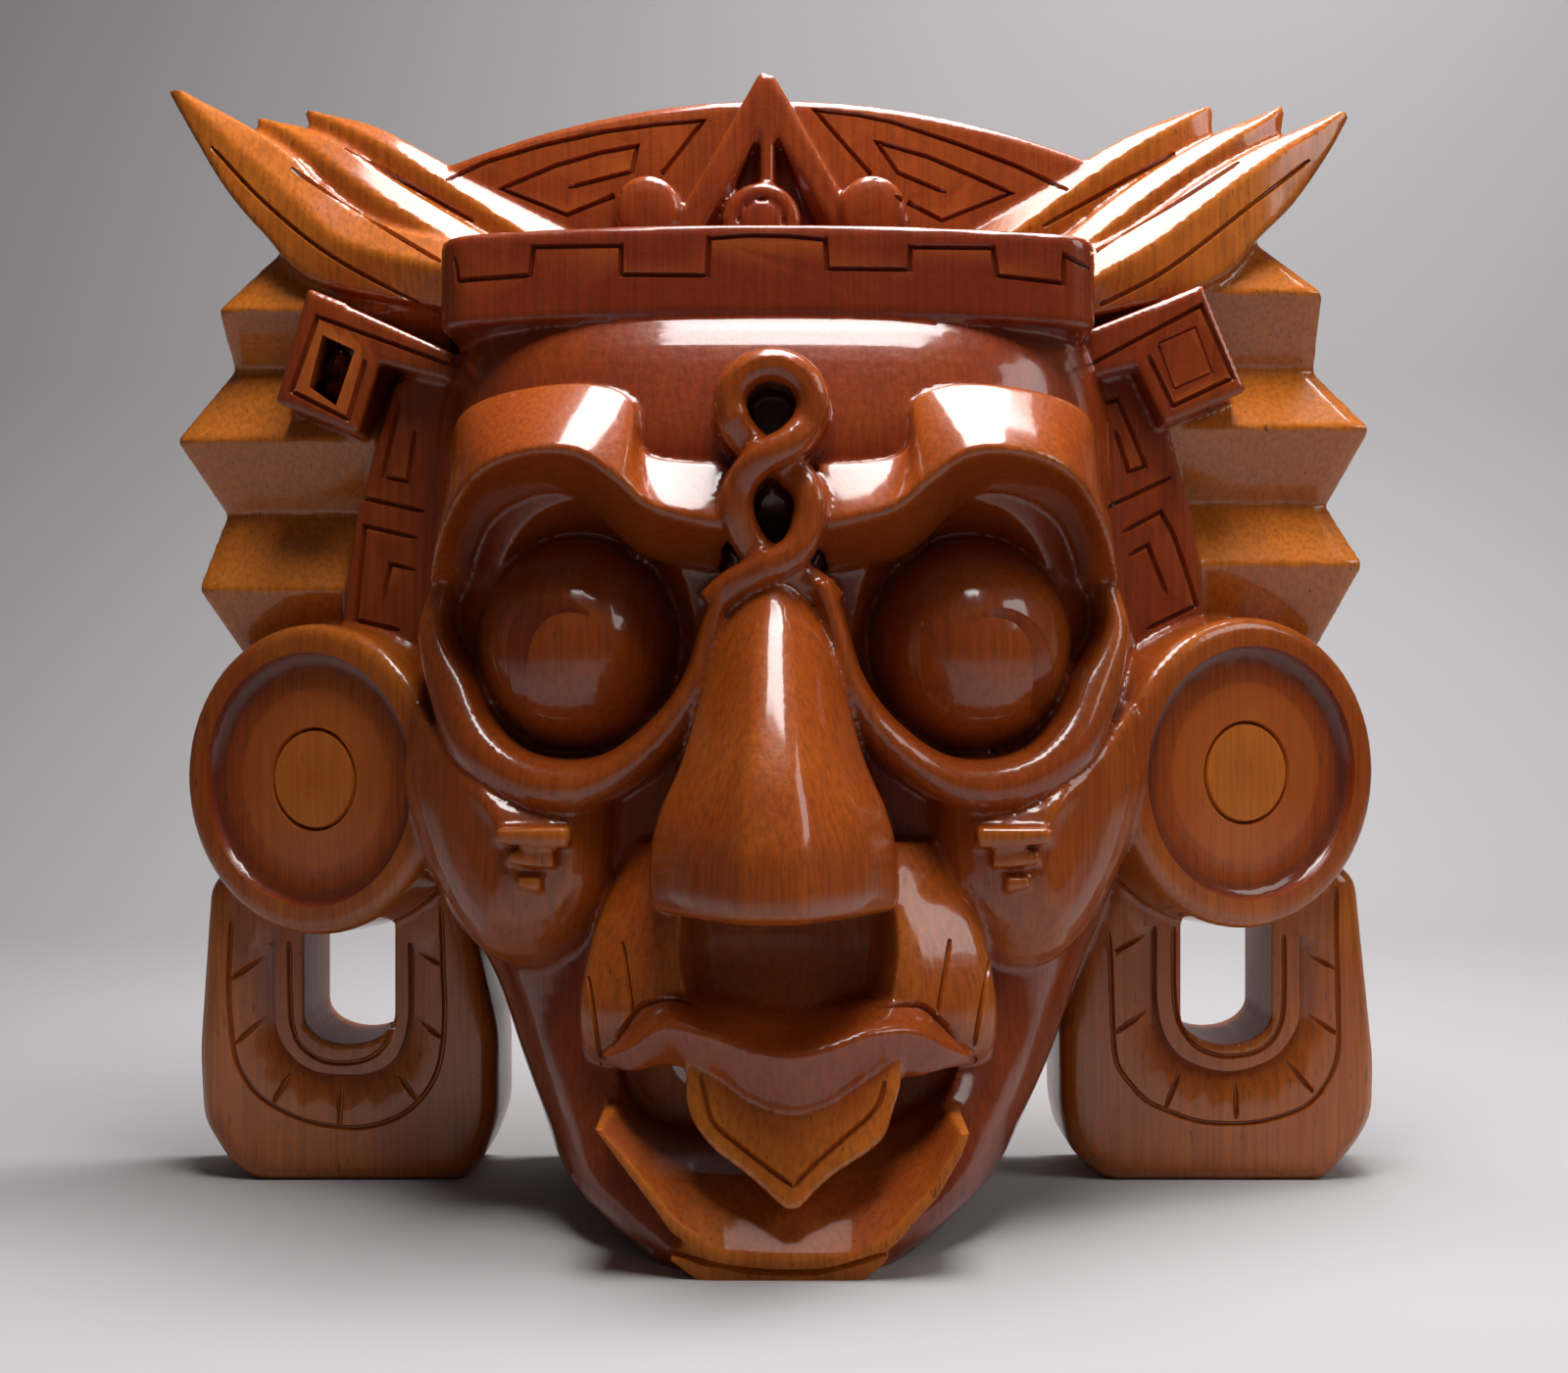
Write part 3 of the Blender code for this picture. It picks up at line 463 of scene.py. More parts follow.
def carveCrown():
    top = []
    for i in range(41):
        x = lerp(crown["halfWidth"], -crown["halfWidth"], i / 40)
        top.append((x, crown["top"] - crown["rise"] * (x / crown["halfWidth"]) ** 2))
    base = band["base"] + 6
    foot = [(-crown["halfWidth"], base), (crown["halfWidth"], base)]
    slab(foot + top, behind, crown["thickness"], 2.5, "crown", rough)
    base = band["base"] + 8
    half = peak["halfWidth"] * (peak["top"] - base) / (peak["top"] - 258.0)
    outline = ((-half, base), (half, base), (2, peak["top"] - 1), (-2, peak["top"]))
    slab([(x + peak["shift"], z) for x, z in outline], 4, peak["depth"], 1.2, "peak", rough)
    base = band["base"] + 16
    half = peak["halfWidth"] * (peak["top"] - base) / (peak["top"] - 258.0) - peak["rim"]
    for side in (-1, 1):
        ring = [(0.6, base), (half, base), (0.8, peak["top"] - 14)]
        front = [(x * side + peak["shift"], peak["depth"] + 4, z) for x, z in ring]
        floor = [(lerp(x, 7.0, 0.35) * side + peak["shift"], peak["depth"] - 7, z - (2 if z > base + 1 else 0))
                 for x, z in ring]
        loft([floor, front], "peak", sunk)
    r = knobs["radius"]
    dome = [(0, -32), (r, -32), (r, -2.2), (r - 0.4, -0.9), (r - 1.4, -0.1), (r - 4, 0.5), (0, 0.8)]
    for x in knobs["places"]:
        turned(dome, (x, knobs["depth"], knobs["height"]), 0, 1, "peak", raised, 48)
    x, z, r = knobs["boss"]
    boss = [(0, -32), (r, -32), (r, -1.2), (r - 0.8, -0.2), (r - 2, 0.2), (r - 3.6, 0.2), (r - 4.2, -1.8),
            (r - 4.8, -1.8), (r - 5.4, 0.2), (0, 0.4)]
    turned(boss, (x, peak["depth"] + 2, z), 0, 1, "peak", raised, 48)


# Feathers: lower edge, ridge and upper edge from root to tip, for the left and the right
feathers = {
    "depth": 46, "step": 7, "tipDepth": 26, "back": 8,
    -1: ((((82, 233), (84, 243.4), (84, 252)), ((122, 241.7), (114, 252), (108, 259)),
          ((138, 256), (127, 263), (122, 269)), ((148.5, 268), (137, 272), (131, 278)),
          ((157, 281), (149, 283), (144, 287)), ((166.5, 297), (164, 298), (162, 297))),
         (((72, 236), (74, 246), (72, 252)), ((112, 255), (104, 264), (100, 269)),
          ((128, 267), (122, 277), (117, 281)), ((139, 278), (132, 285), (128, 287)),
          ((143, 290), (142, 291), (141, 290))),
         (((56, 240), (58, 250), (54, 256)), ((104, 264), (99, 277), (95, 280)),
          ((124, 280), (116, 287), (112, 289)), ((130.5, 293), (129.5, 294), (128.5, 293)))),
    1: ((((80, 231), (84, 241), (84, 250)), ((116, 241), (101, 252), (97, 257)),
         ((131, 255), (121, 267), (116, 271)), ((141, 265), (135, 277), (131, 280)),
         ((151, 279), (146, 284), (143, 286)), ((157.5, 290), (156.5, 292), (154.5, 291.5))),
        (((72, 236), (76, 246), (74, 252)), ((108, 256), (101, 266.5), (97, 270)),
         ((126, 271), (122, 281), (117, 283)), ((137, 280), (133, 288), (129, 289)),
         ((140.5, 292), (140, 294), (138, 293))),
        (((54, 240), (56, 250), (52, 256)), ((98, 266), (92, 277), (88, 280)),
         ((118, 279), (111, 289), (107, 290)), ((121.5, 293), (121, 295), (119.5, 294)))),
}


def carveFeathers(side):
    for layer, stations in enumerate(feathers[side]):
        rows = curve([low + ridge + top for low, ridge, top in stations], 6)
        root, end = feathers["depth"] - layer * feathers["step"], feathers["tipDepth"] - layer * 3.0
        rings = []
        for i, (lx, lz, rx, rz, tx, tz) in enumerate(rows):
            share = i / (len(rows) - 1)
            depth = lerp(root, end, share)
            back = lerp(behind, feathers["back"], min(1.0, share * 2.0))
            thin = lerp(5.0, 2.0, share)
            profile = [(lx, back, lz), (lx, depth - thin * 0.6, lz), (rx, depth, rz), (tx, depth - thin, tz),
                       (tx, back, tz)]
            rings.append(mirrored(eased(profile, [0, 1, 1, 1, 0]), side))
        loft(rings, "feather", rough)


# Square hooks: arm and block, and the open well in the left one
hooks = {
    "depth": 52, "back": 14, "wellFloor": 38, "lumps": 3.4,
    -1: (((122, 238), (84, 221), (84, 213), (101, 217.5), (112, 222)),
         ((122, 238), (130.5, 208), (109, 199.5), (103, 218.5), (112, 234)),
         ((118, 225.5), (121.5, 212), (114.5, 207), (109.5, 221.5))),
    1: (((112, 239), (82, 227), (82, 214), (95, 217), (104, 224)),
        ((112, 239), (123.5, 211), (102, 202), (93.5, 219), (98, 233))),
}


def carveHook(side):
    arm, block = hooks[side][:2]
    slab(mirrored(arm, side), hooks["back"], hooks["depth"] - 0.3, 1.5, "hook", raised)
    slab(mirrored(block, side), hooks["back"], hooks["depth"], 1.5, "hook", raised)


# Pleats: z and reach of seams and ridges from the top; panel and board behind them
pleats = {
    "ridge": 38, "seam": 24, "inner": 88,
    -1: ((260, 130), (235, 150.5), (220.8, 149.5), (200, 161.5), (181, 151.5), (160, 155.5), (134, 141)),
    1: ((260, 128), (240, 148), (220.5, 149), (203.5, 161), (183.5, 152.5), (167, 159), (136, 145)),
}
board = {"half": 126, "low": 140, "high": 241, "depth": 22}
panel = {"outline": ((86, 222), (101, 214), (107, 196), (112, 178), (116, 149), (116, 132), (86, 132)),
         "depth": 46, "turn": 6}


def carveSides(side):
    levels = pleats[side]
    for i in range(1, len(levels), 2):
        rings = []
        for share in (0.0, 0.25, 0.5, 0.75, 0.93, 1.0):
            ring = []
            for step, (z, reach) in zip((-1, 0, 1), levels[i - 1:i + 2]):
                depth = pleats["ridge"] if step == 0 else pleats["seam"]
                place = lerp(pleats["inner"], reach, share)
                fall = 3.0 * share + (1.5 if share == 1.0 else 0.0)
                ring.append((place, depth - fall, z))
            ring += [(x, behind, z) for x, d, z in ring[::-1]]
            rings.append(mirrored(eased(ring, [0, 1, 0, 0, 0, 0]), side))
        loft(rings, "pleat", rough)
    start = abs(panel["outline"][0][0])
    slab(mirrored(panel["outline"], side), behind, panel["depth"], 1.0, "panel", rough,
         tilt=lambda x, z: -panel["turn"] * (abs(x) - start) / 25.0)


def carveBoard():
    h, low, high = board["half"], board["low"], board["high"]
    slab([(-h, low), (h, low), (h, high), (-h, high)], behind, board["depth"], 0, "panel", rough)


# Ear discs and the pendants under them
discs = {"radius": 40.9, "centres": {-1: (122.5, 50.0, 109.3), 1: (125.5, 50.0, 111.0)}, "thickness": 17,
         "turn": 25, "rim": 7.5, "step": 3.0, "ring": 13.2}
pendants = {
    "thickness": 33, "edge": 6,
    -1: ((138, 95), (153.5, 80), (156.5, 35), (155.5, 16), (148, 4), (141, -1), (85, -1), (80, 4),
         (75.3, 16), (75.3, 39), (84, 76), (96, 95)),
    1: ((140, 95), (158, 82), (163, 32), (162.6, 17), (158, 9), (149, -1), (90, -1), (80, 8),
        (77.6, 18), (77.6, 41), (86, 76), (96, 95)),
}
slots = {"width": 24.5, "bottom": 37, "top": 80, "centres": (-115.0, 122.0)}


def carveEar(side):
    r = discs["radius"]
    centre = discs["centres"][side]
    profile = [(0, -discs["thickness"]), (r, -discs["thickness"]), (r, -3.0), (r - 0.5, -1.2), (r - 1.6, -0.2),
               (r - 3.2, 0.3), (0, 0.3)]
    turned(profile, centre, discs["turn"], side, "disc", raised)
    rings = []
    for rise, atBack in ((0, True), (0.5, False)):  # wood behind the disc, straight to the back plane
        ring = []
        for i in range(64):
            a = math.tau * i / 64
            x, d, z = swung(centre, discs["turn"], r * math.cos(a), rise - discs["thickness"], r * math.sin(a))
            ring.append((x, behind if atBack else d, z))
        rings.append(mirrored(ring, side))
    loft(rings, "disc", raised)
    outline = eased(mirrored(pendants[side], side), 4.0, closed=True)
    slab(outline, behind, pendants["thickness"], pendants["edge"], "pendant", rough, steps=5)


def slotRings(centre):
    half = slots["width"] / 2
    outline = [(centre - half, slots["top"]), (centre + half, slots["top"])]
    for i in range(25):
        turn = -math.pi * i / 24
        outline.append((centre + half * math.cos(turn), slots["bottom"] + 8 + 8 * math.sin(turn)))
    return [[(x, d, z) for x, z in outline] for d in (-20, 60)]


for side in (-1, 1):
    carveSides(side)
    carveFeathers(side)
    carveCheek(side)
    carveEar(side)
    carveBrow(side)
    carveEye(side)
    carveEyeBand(side)
    carveHook(side)
for centre in slots["centres"]:
    loft(slotRings(centre), "slot", sunk)
carveHead()
carveBoard()
carveBand()
carveCrown()
carveMuzzle()
carveMouth()
carveNose()
carveStrand()
print("forms made", len(rough), len(sunk), len(raised))


def joined(meshes, name):
    bm = bmesh.new()
    for mesh in meshes:
        bm.from_mesh(mesh)
    return placed(name, meshOf(bm, name))


def evaluated(thing):  # applies the modifiers and clears them
    bpy.context.view_layer.update()
    result = bpy.data.meshes.new_from_object(thing.evaluated_get(bpy.context.evaluated_depsgraph_get()))
    thing.modifiers.clear()
    thing.data = result
    return thing


def remeshed(thing, size):
    modifier = thing.modifiers.new("voxels", 'REMESH')
    modifier.mode = 'VOXEL'
    modifier.voxel_size = size * mm
    return evaluated(thing)


def cut(thing, meshes):
    cutter = joined(meshes, "tool")
    modifier = thing.modifiers.new("cut", 'BOOLEAN')
    modifier.operation = 'DIFFERENCE'
    modifier.object = cutter
    modifier.solver = 'MANIFOLD'
    evaluated(thing)
    bpy.data.objects.remove(cutter)


def shaved(thing, low, high):  # a straight cut, as by a plane or a saw
    bm = bmesh.new()
    bmesh.ops.create_cube(bm, size=1.0)
    middle = (Vector(low) + Vector(high)) / 2
    for vert in bm.verts:
        vert.co = Vector([middle[i] + vert.co[i] * (high[i] - low[i]) for i in range(3)])
    cut(thing, [meshOf(bm, "cutter")])


blank = remeshed(joined(rough, "blank"), carving["voxel"])
for mesh in sunk:
    cut(blank, [mesh])
mask = remeshed(joined([blank.data] + raised, "carvedMask"), carving["voxel"])
bpy.data.objects.remove(blank)
soften = mask.modifiers.new("soften", 'SMOOTH')
soften.factor = 0.5
soften.iterations = carving["smoothing"]
evaluated(mask)
print("forms joined", len(mask.data.polygons))

# The hollow behind the face, the open well of the left hook, the flat back and the flat feet
hollow = {"sections": ((214, 56, 34), (200, 68, 44), (170, 74, 48), (140, 78, 46), (112, 76, 56),
                       (84, 66, 70), (60, 50, 74), (40, 42, 78), (22, 34, 78), (12, 26, 72)),
          "squareness": 0.75}


def hollowOut():
    inside, wells = [], []
    rows = curve(hollow["sections"], 3)
    loft([headRing(z, w, d, behind * 2, 40, hollow["squareness"]) for z, w, d in rows], "back", inside)
    x, z, r = mouth["gap"]
    gap = [(x + r * math.cos(math.tau * i / 48), z + r * math.sin(math.tau * i / 48)) for i in range(48)]
    loft([[(x, d, z) for x, z in gap] for d in (mouth["gapBack"], mouth["gapFront"])], "slot", inside)
    bm = bmesh.new()  # the open well has a raw, lumpy floor
    floor = bm.faces.new([bm.verts.new(at(x, hooks["wellFloor"], z)) for x, z in mirrored(hooks[-1][2], -1)])
    bmesh.ops.subdivide_edges(bm, edges=floor.edges, cuts=14, use_grid_fill=True)
    rim = [e for e in bm.edges if e.is_boundary]
    for vert in bm.verts:
        if not vert.is_boundary:
            lump = noise.noise(vert.co * 260) + 0.6 * noise.noise(vert.co * 620)
            vert.co.y -= lump * hooks["lumps"] * mm
    for vert in bmesh.ops.extrude_edge_only(bm, edges=rim)["geom"]:
        if isinstance(vert, bmesh.types.BMVert):
            vert.co.y -= 40 * mm
    bmesh.ops.holes_fill(bm, edges=bm.edges, sides=0)
    keep(bm, "well", wells)
    for side in (-1, 1):  # sunk face of a disc, with its scored ring
        edge, ring, floor = discs["radius"] - discs["rim"], discs["ring"], -discs["step"]
        profile = [(0, 1.6), (edge, 1.6), (edge, 0.0), (edge - 0.3, floor * 0.45), (edge - 1.4, floor * 0.85),
                   (edge - 3.6, floor - 0.3), (edge - 8, floor - 0.2), (ring + 0.65, floor + 0.3),
                   (ring, floor - 1.3), (ring - 0.65, floor + 0.3), (0, floor + 0.6)]
        turned(profile, discs["centres"][side], discs["turn"], side, "disc", wells, 128)
    for mesh in inside + wells:
        cut(mask, [mesh])
    left, right = leftEdge - 0.05, leftEdge + 0.4
    shaved(mask, (left, backPlane, -0.05), (right, backPlane + 0.05, 0.4))
    shaved(mask, (left, backPlane - 0.3, -0.05), (right, backPlane + 0.1, 0.0))


hollowOut()
print("hollow cut", len(mask.data.polygons))

# Grooves: places are given as they are seen from the front, in the picture's own pixels, and the
# tool follows the surface that is found there
eye = at(2.5, 600, 133.7)


def found(surface, u, v):
    aim = at(2.5 + (u - 800) * 0.28, 0, 133.7 + (700.5 - v) * 0.28)
    place, normal, index, distance = surface.ray_cast(eye, (aim - eye).normalized())
    return (place, normal) if place else (None, None)


def groove(surface, cutters, points, width=1.5, depth=1.3, lean=0.5, smooth=False, ends=(0.35, 0.35), step=8.0):
    rows = curve(points, 8) if smooth else [np.array(p, dtype=float) for p in points]
    path = []
    for a, b in zip(rows, rows[1:]):
        count = max(1, round(float(np.linalg.norm(b - a)) / step))
        path += [a + (b - a) * i / count for i in range(count)]
    path.append(rows[-1])
    if smooth:  # even steps along a curve
        gone = np.concatenate([[0.0], np.cumsum([np.linalg.norm(b - a) for a, b in zip(path, path[1:])])])
        count = max(2, round(gone[-1] / step))
        marks = np.linspace(0, gone[-1], count + 1)
        path = list(np.stack([np.interp(marks, gone, [p[k] for p in path]) for k in (0, 1)], axis=1))
    hits = [found(surface, *p) for p in path]
    hits = [h for h in hits if h[0] is not None]
    if len(hits) < 2:
        return
    rings = []
    for i, (place, normal) in enumerate(hits):
        near = [hits[j][1] for j in range(max(0, i - 2), min(len(hits), i + 3))]
        out = sum(near, Vector()).normalized()
        before = place - hits[max(i - 1, 0)][0]
        after = hits[min(i + 1, len(hits) - 1)][0] - place
        pairs = ((before, after), (after, before))
        before, after = [(s if s.length > 1e-7 else t).normalized() for s, t in pairs]
        along = (before + after).normalized()
        left = out.cross(along).normalized()
        mitre = min(1.6, 1 / max(0.5, math.sqrt(max(0.0, (1 + before.dot(after)) / 2))))
        share = ends[0] if i == 0 else ends[1] if i == len(hits) - 1 else 1.0
        d, above = depth * share * mm, 0.7 * mm
        w = width * (0.3 + 0.7 * share) * mm * mitre
        ring = []
        for size, sign in ((w * lean, 1), (w * (1 - lean), -1)):
            outer = place + left * sign * size * (1 + above / d) + out * above
            inner = place + (left * sign * 0.12 * mm - out * d)
            ring += [outer, inner][::sign]
        rings.append(ring)
    loft(rings, "groove", cutters, place=lambda *p: Vector(p))


lines = {"crown": (
    ((455, 184), (496, 165), (554, 148), (616, 134.5), (670, 127), (718, 123), (695, 153), (672, 182)),
    ((634, 197), (578.5, 219.3), (511.5, 192.5), (567, 169), (612, 156), (650, 149), (644.6, 175),
    (580, 191.6)),
    ((1090, 194), (1036, 169), (978, 147), (911, 124.6), (875, 117), (831, 112), (862, 148), (893, 183)),
    ((965.5, 197), (915.5, 176), (894, 144.7), (947, 160), (991, 179), (1031.6, 197), (961, 225),
    (913, 199.6))),
    "band": (
    ((464, 262), (467, 286.3), (540.5, 281), (544, 252), (633.4, 250.5), (633.4, 280), (721.3, 281),
     (723.6, 243), (763.7, 240), (804, 240.7), (842, 244.3), (844, 274), (928, 275), (929, 252),
     (1013, 252.8), (1017.3, 281), (1085.2, 289), (1086, 260), (1112, 274)),),
    "hooks": (
    ((459, 372), (323.5, 323), (297, 399), (354.5, 428), (372.7, 367)),
    ((1111, 373), (1226, 311.5), (1258.7, 385.4), (1197, 414.5), (1172, 362.4))),
    "panels": (
    ((407.8, 408.5), (389.7, 487)), ((393.3, 487.2), (415.6, 491.3), (423.6, 438.8)), ((363, 506.6),
    (433, 522)),
    ((426, 549), (372, 537), (363, 632.7), (408, 643.6)), ((423.6, 581.7), (398.2, 575.7), (391, 612)),
    ((1128, 411), (1141, 407), (1169, 476), (1152, 481.6), (1137.6, 437.5)),
    ((1130.3, 428), (1131.5, 517.5), (1195.7, 487)),
    ((1146, 543), (1184.8, 522.4), (1197, 544), (1209, 578), (1221, 618), (1170, 642.4)),
    ((1152, 567), (1171.5, 556.3), (1191, 606))),
    "feathers": (
    ((215, 149), (270, 207), (342, 264), (450, 321)), ((297, 171), (360, 213), (450, 267)),
    ((352, 151), (420, 190), (483, 226)), ((1199, 156), (1124, 198), (1064, 231)),
    ((1265, 165), (1190, 213), (1112, 259)), ((1337, 163), (1280, 207), (1190, 276), (1116, 315))),
    "muzzle": (((635, 961), (646, 1038)), ((600, 996), (612.6, 1080)), ((969.8, 958), (957, 1036)),
               ((1009.6, 980), (994, 1068))),
    "lip": (((612.6, 1086), (646, 1036), (660, 1024), (688, 1019), (713, 1027)),
            ((895, 1028), (936, 1026), (957, 1039), (996, 1084))),
    "tongue": (((715, 1096), (721, 1128), (729, 1147.6), (751.3, 1166.7), (783, 1192), (809.4, 1211.3)),
               ((809.4, 1211.3), (834, 1185.8), (863, 1160.3), (888.4, 1138), (899.6, 1119), (903, 1103))),
    "chin": (((582, 1193), (605, 1228)), ((620, 1251), (668, 1277)), ((926, 1277), (968, 1254)),
             ((995, 1230), (1013, 1206))),
    "trim": (((687.5, 1277), (725.8, 1290), (783, 1298), (847, 1296), (904, 1280)),),
    "score": (((1182.4, 350.3), (1220, 333.8), (1237, 380), (1198, 396.8), (1182.4, 352)),),
    "pendantRings": (
    ((295, 960), (296, 1019), (298, 1045), (306, 1066.5), (327, 1081.6), (351, 1085), (375, 1080.6),
    (392.5, 1066.5),
     (400, 1045), (401, 1010), (399.4, 952)),
    ((1197.8, 946), (1197.8, 1008.6), (1202.3, 1040.7), (1216, 1063.7), (1234.5, 1075), (1255, 1078),
    (1278, 1075),
     (1296.5, 1063.7), (1306.8, 1045.3), (1310.3, 1018), (1310.3, 953)),
    ((236, 940), (233, 1001), (235.3, 1045), (240.7, 1081.6), (256, 1110), (275.4, 1127), (310, 1143.4),
    (345, 1150),
     (375, 1150), (407.7, 1139), (429.4, 1121), (444.5, 1097), (451, 1071), (453.6, 1032), (452, 988),
     (450, 925)),
    ((1131, 950), (1133.5, 983), (1135.8, 1054.5), (1140.4, 1086.6), (1156.4, 1109.6), (1170, 1123.4),
    (1188.6, 1132.5),
     (1220.7, 1144), (1250.6, 1146.8), (1278, 1146), (1308, 1139.4), (1335.5, 1127), (1354, 1105),
     (1365.4, 1075),
     (1365.4, 1018), (1364, 949), (1364, 905))),
    "pendantSteps": (
    ((277.6, 962), (278.7, 1032), (284, 1060), (299.3, 1081.6), (321, 1094.7), (347, 1098), (375, 1097),
     (396.8, 1088), (409.8, 1071), (417.4, 1040.5), (418, 1000), (417.4, 962)),
    ((1179.4, 945), (1179.4, 1018), (1185, 1050), (1195.5, 1070.6), (1211.5, 1084), (1234.5, 1092.4),
    (1257.4, 1094.7),
     (1280.4, 1090), (1303.4, 1078.6), (1319.4, 1059), (1327.5, 1038.4), (1328, 1000), (1327.5, 955))),
    "radials": (
    ((235.3, 999.3), (273, 974)), ((239.6, 1065.4), (276.5, 1033)), ((278.7, 1125), (301, 1087)),
    ((346, 1149), (349, 1099)), ((425, 1122.8), (404, 1093.6)), ((449, 1059), (420.7, 1035)), ((449, 984),
    (421.8, 970)),
    ((1138, 970.7), (1173.6, 952)), ((1137, 1054.5), (1174.8, 1029)), ((1189.7, 1130), (1207, 1086.6)),
    ((1261.6, 1141.7), (1261, 1095.8)), ((1340, 1115), (1308, 1077.4)), ((1365, 1056.8), (1328.6, 1030.4)),
    ((1362.6, 989), (1328.6, 970.7))),
    "lids": (
    (((601, 625), (583, 611.5), (557, 606.5), (540, 612), (527, 626), (519.5, 645), (517.5, 665),
    (518.5, 685), (525, 715),
      (539, 745)),
     ((601, 628.5), (587, 625), (573, 625.4), (560, 630), (549.5, 640), (543, 652), (539, 668), (537, 690),
     (539, 718),
      (546, 746))),
    (((1001, 626), (1014, 621), (1032, 621), (1052, 632), (1067, 652), (1074, 680), (1073, 706), (1062, 742),
    (1046, 765)),
     ((1001, 630), (1014, 630), (1030, 633), (1043, 643), (1052, 660), (1054, 684), (1053, 706), (1049, 736),
     (1040, 762)))),
}


def crescent(surface, cutters, outer, inner, depth):  # a sloped cut, deepest along its inner edge
    rings = []
    rows = list(zip(curve(outer, 4), curve(inner, 4)))
    for i, (a, b) in enumerate(rows):
        share = i / (len(rows) - 1)
        deep = depth * min(1.0, share * 6 + 0.15) * (1.0 - max(0.0, share - 0.45) / 0.55 * 0.9)
        high, low = found(surface, *a), found(surface, *b)
        out = (high[1] + low[1]).normalized()
        rings.append([high[0] + out * 0.8 * mm, high[0] - out * 0.12 * mm, low[0] - out * deep * mm,
                      low[0] + out * 0.8 * mm])
    loft(rings, "groove", cutters, place=lambda *p: Vector(p))


tools = (  # lines, the pass in which they are cut, the tool's form
    (("crown", "band", "hooks", "panels", "muzzle"), 0, {}),
    (("feathers", "tongue"), 0, {"smooth": True, "step": 10}),
    (("score",), 0, {"width": 0.6, "depth": 0.5, "ends": (1, 1)}),
    (("pendantRings",), 0, {"smooth": True, "step": 7}),
    (("lip", "trim"), 2, {"smooth": True, "width": 1.7, "depth": 1.6, "step": 7}),
    (("pendantSteps",), 1, {"smooth": True, "width": 6.4, "depth": 1.9, "lean": 0.07, "step": 7}),
    (("lids",), 1, {"depth": 1.5}),
    (("radials",), 2, {"width": 1.7}),
    (("chin",), 1, {"width": 4.4, "depth": 2.2, "lean": 0.1}),
)


def carveGrooves():
    surface = BVHTree.FromObject(mask, bpy.context.evaluated_depsgraph_get())
    passes = [[], [], []]
    for names, turn, form in tools:
        for points in [p for name in names for p in lines[name]]:
            if "lids" in names:
                crescent(surface, passes[turn], *points, **form)
            else:
                groove(surface, passes[turn], points, **form)
    for cutters in passes:
        cut(mask, cutters)


carveGrooves()
print("grooves cut", len(mask.data.polygons))


def thinned(thing, faces):
    triangles = sum(len(p.vertices) - 2 for p in thing.data.polygons)
    modifier = thing.modifiers.new("thin", 'DECIMATE')
    modifier.ratio = min(1.0, faces / triangles)
    modifier.use_collapse_triangulate = True
    evaluated(thing)


def neighbourMean(values, edges, count):
    total = np.zeros_like(values)
    for k in range(values.shape[1]):
        total[:, k] = (np.bincount(edges[:, 0], values[edges[:, 1], k], len(values))
                       + np.bincount(edges[:, 1], values[edges[:, 0], k], len(values)))
    return total / count[:, None]


def smoothOver(values, edges, count, times):
    for _ in range(times):
        values = 0.5 * values + 0.5 * neighbourMean(values, edges, count)
    return values


def stored(mesh, name, values):
    layer = mesh.attributes.new(name, 'FLOAT', 'POINT')
    layer.data.foreach_set("value", np.ascontiguousarray(values, dtype=np.float32))


def read(mesh):  # places, normals, edges and the edges at each point
    size = len(mesh.vertices)
    places, normals = np.empty(size * 3), np.empty(size * 3)
    mesh.vertices.foreach_get("co", places)
    mesh.vertices.foreach_get("normal", normals)
    edges = np.empty(len(mesh.edges) * 2, dtype=np.int64)
    mesh.edges.foreach_get("vertices", edges)
    edges = edges.reshape(-1, 2)
    count = np.maximum(1, np.bincount(edges.ravel(), minlength=size)).astype(float)
    return places.reshape(-1, 3), normals.reshape(-1, 3), edges, count


def measureRelief(mesh):  # while the points still lie evenly; the depths of grooves and broad hollows drive painted shade in the wood colour, and in the grooves pooled stain too
    places, normals, edges, count = read(mesh)
    near = smoothOver(places, edges, count, 5)
    far = smoothOver(near, edges, count, 50)
    stored(mesh, "crevice", ((near - places) * normals).sum(axis=1) / mm)  # above 0 in a groove
    stored(mesh, "hollow", ((far - places) * normals).sum(axis=1) / mm)


measureRelief(mask.data)
thinned(mask, carving["keptFaces"])
print("thinned", len(mask.data.polygons))

# Where the stain lies: 0 is honey, 1 is dark mahogany
stains = {"head": 0.78, "brow": 0.55, "eye": 0.5, "socket": 0.75, "eye band": 0.55, "nose": 0.45,
          "muzzle": 0.42, "lips": 0.6, "mouth": 0.4, "tongue": 0.26, "jaw": 0.28, "cheek": 0.45, "strand": 0.6,
          "band": 0.95, "crown": 0.7, "peak": 0.8, "feather": 0.3, "hook": 0.85, "pleat": 0.08, "panel": 0.78,
          "disc": 0.42, "pendant": 0.3, "slot": 0.6, "back": 0.5, "well": 0.55}
dull = {"slot": 0.15, "back": 0.25, "jaw": 0.12, "mouth": 0.12, "edge": 0.3}  # thin lacquer, 1 is full


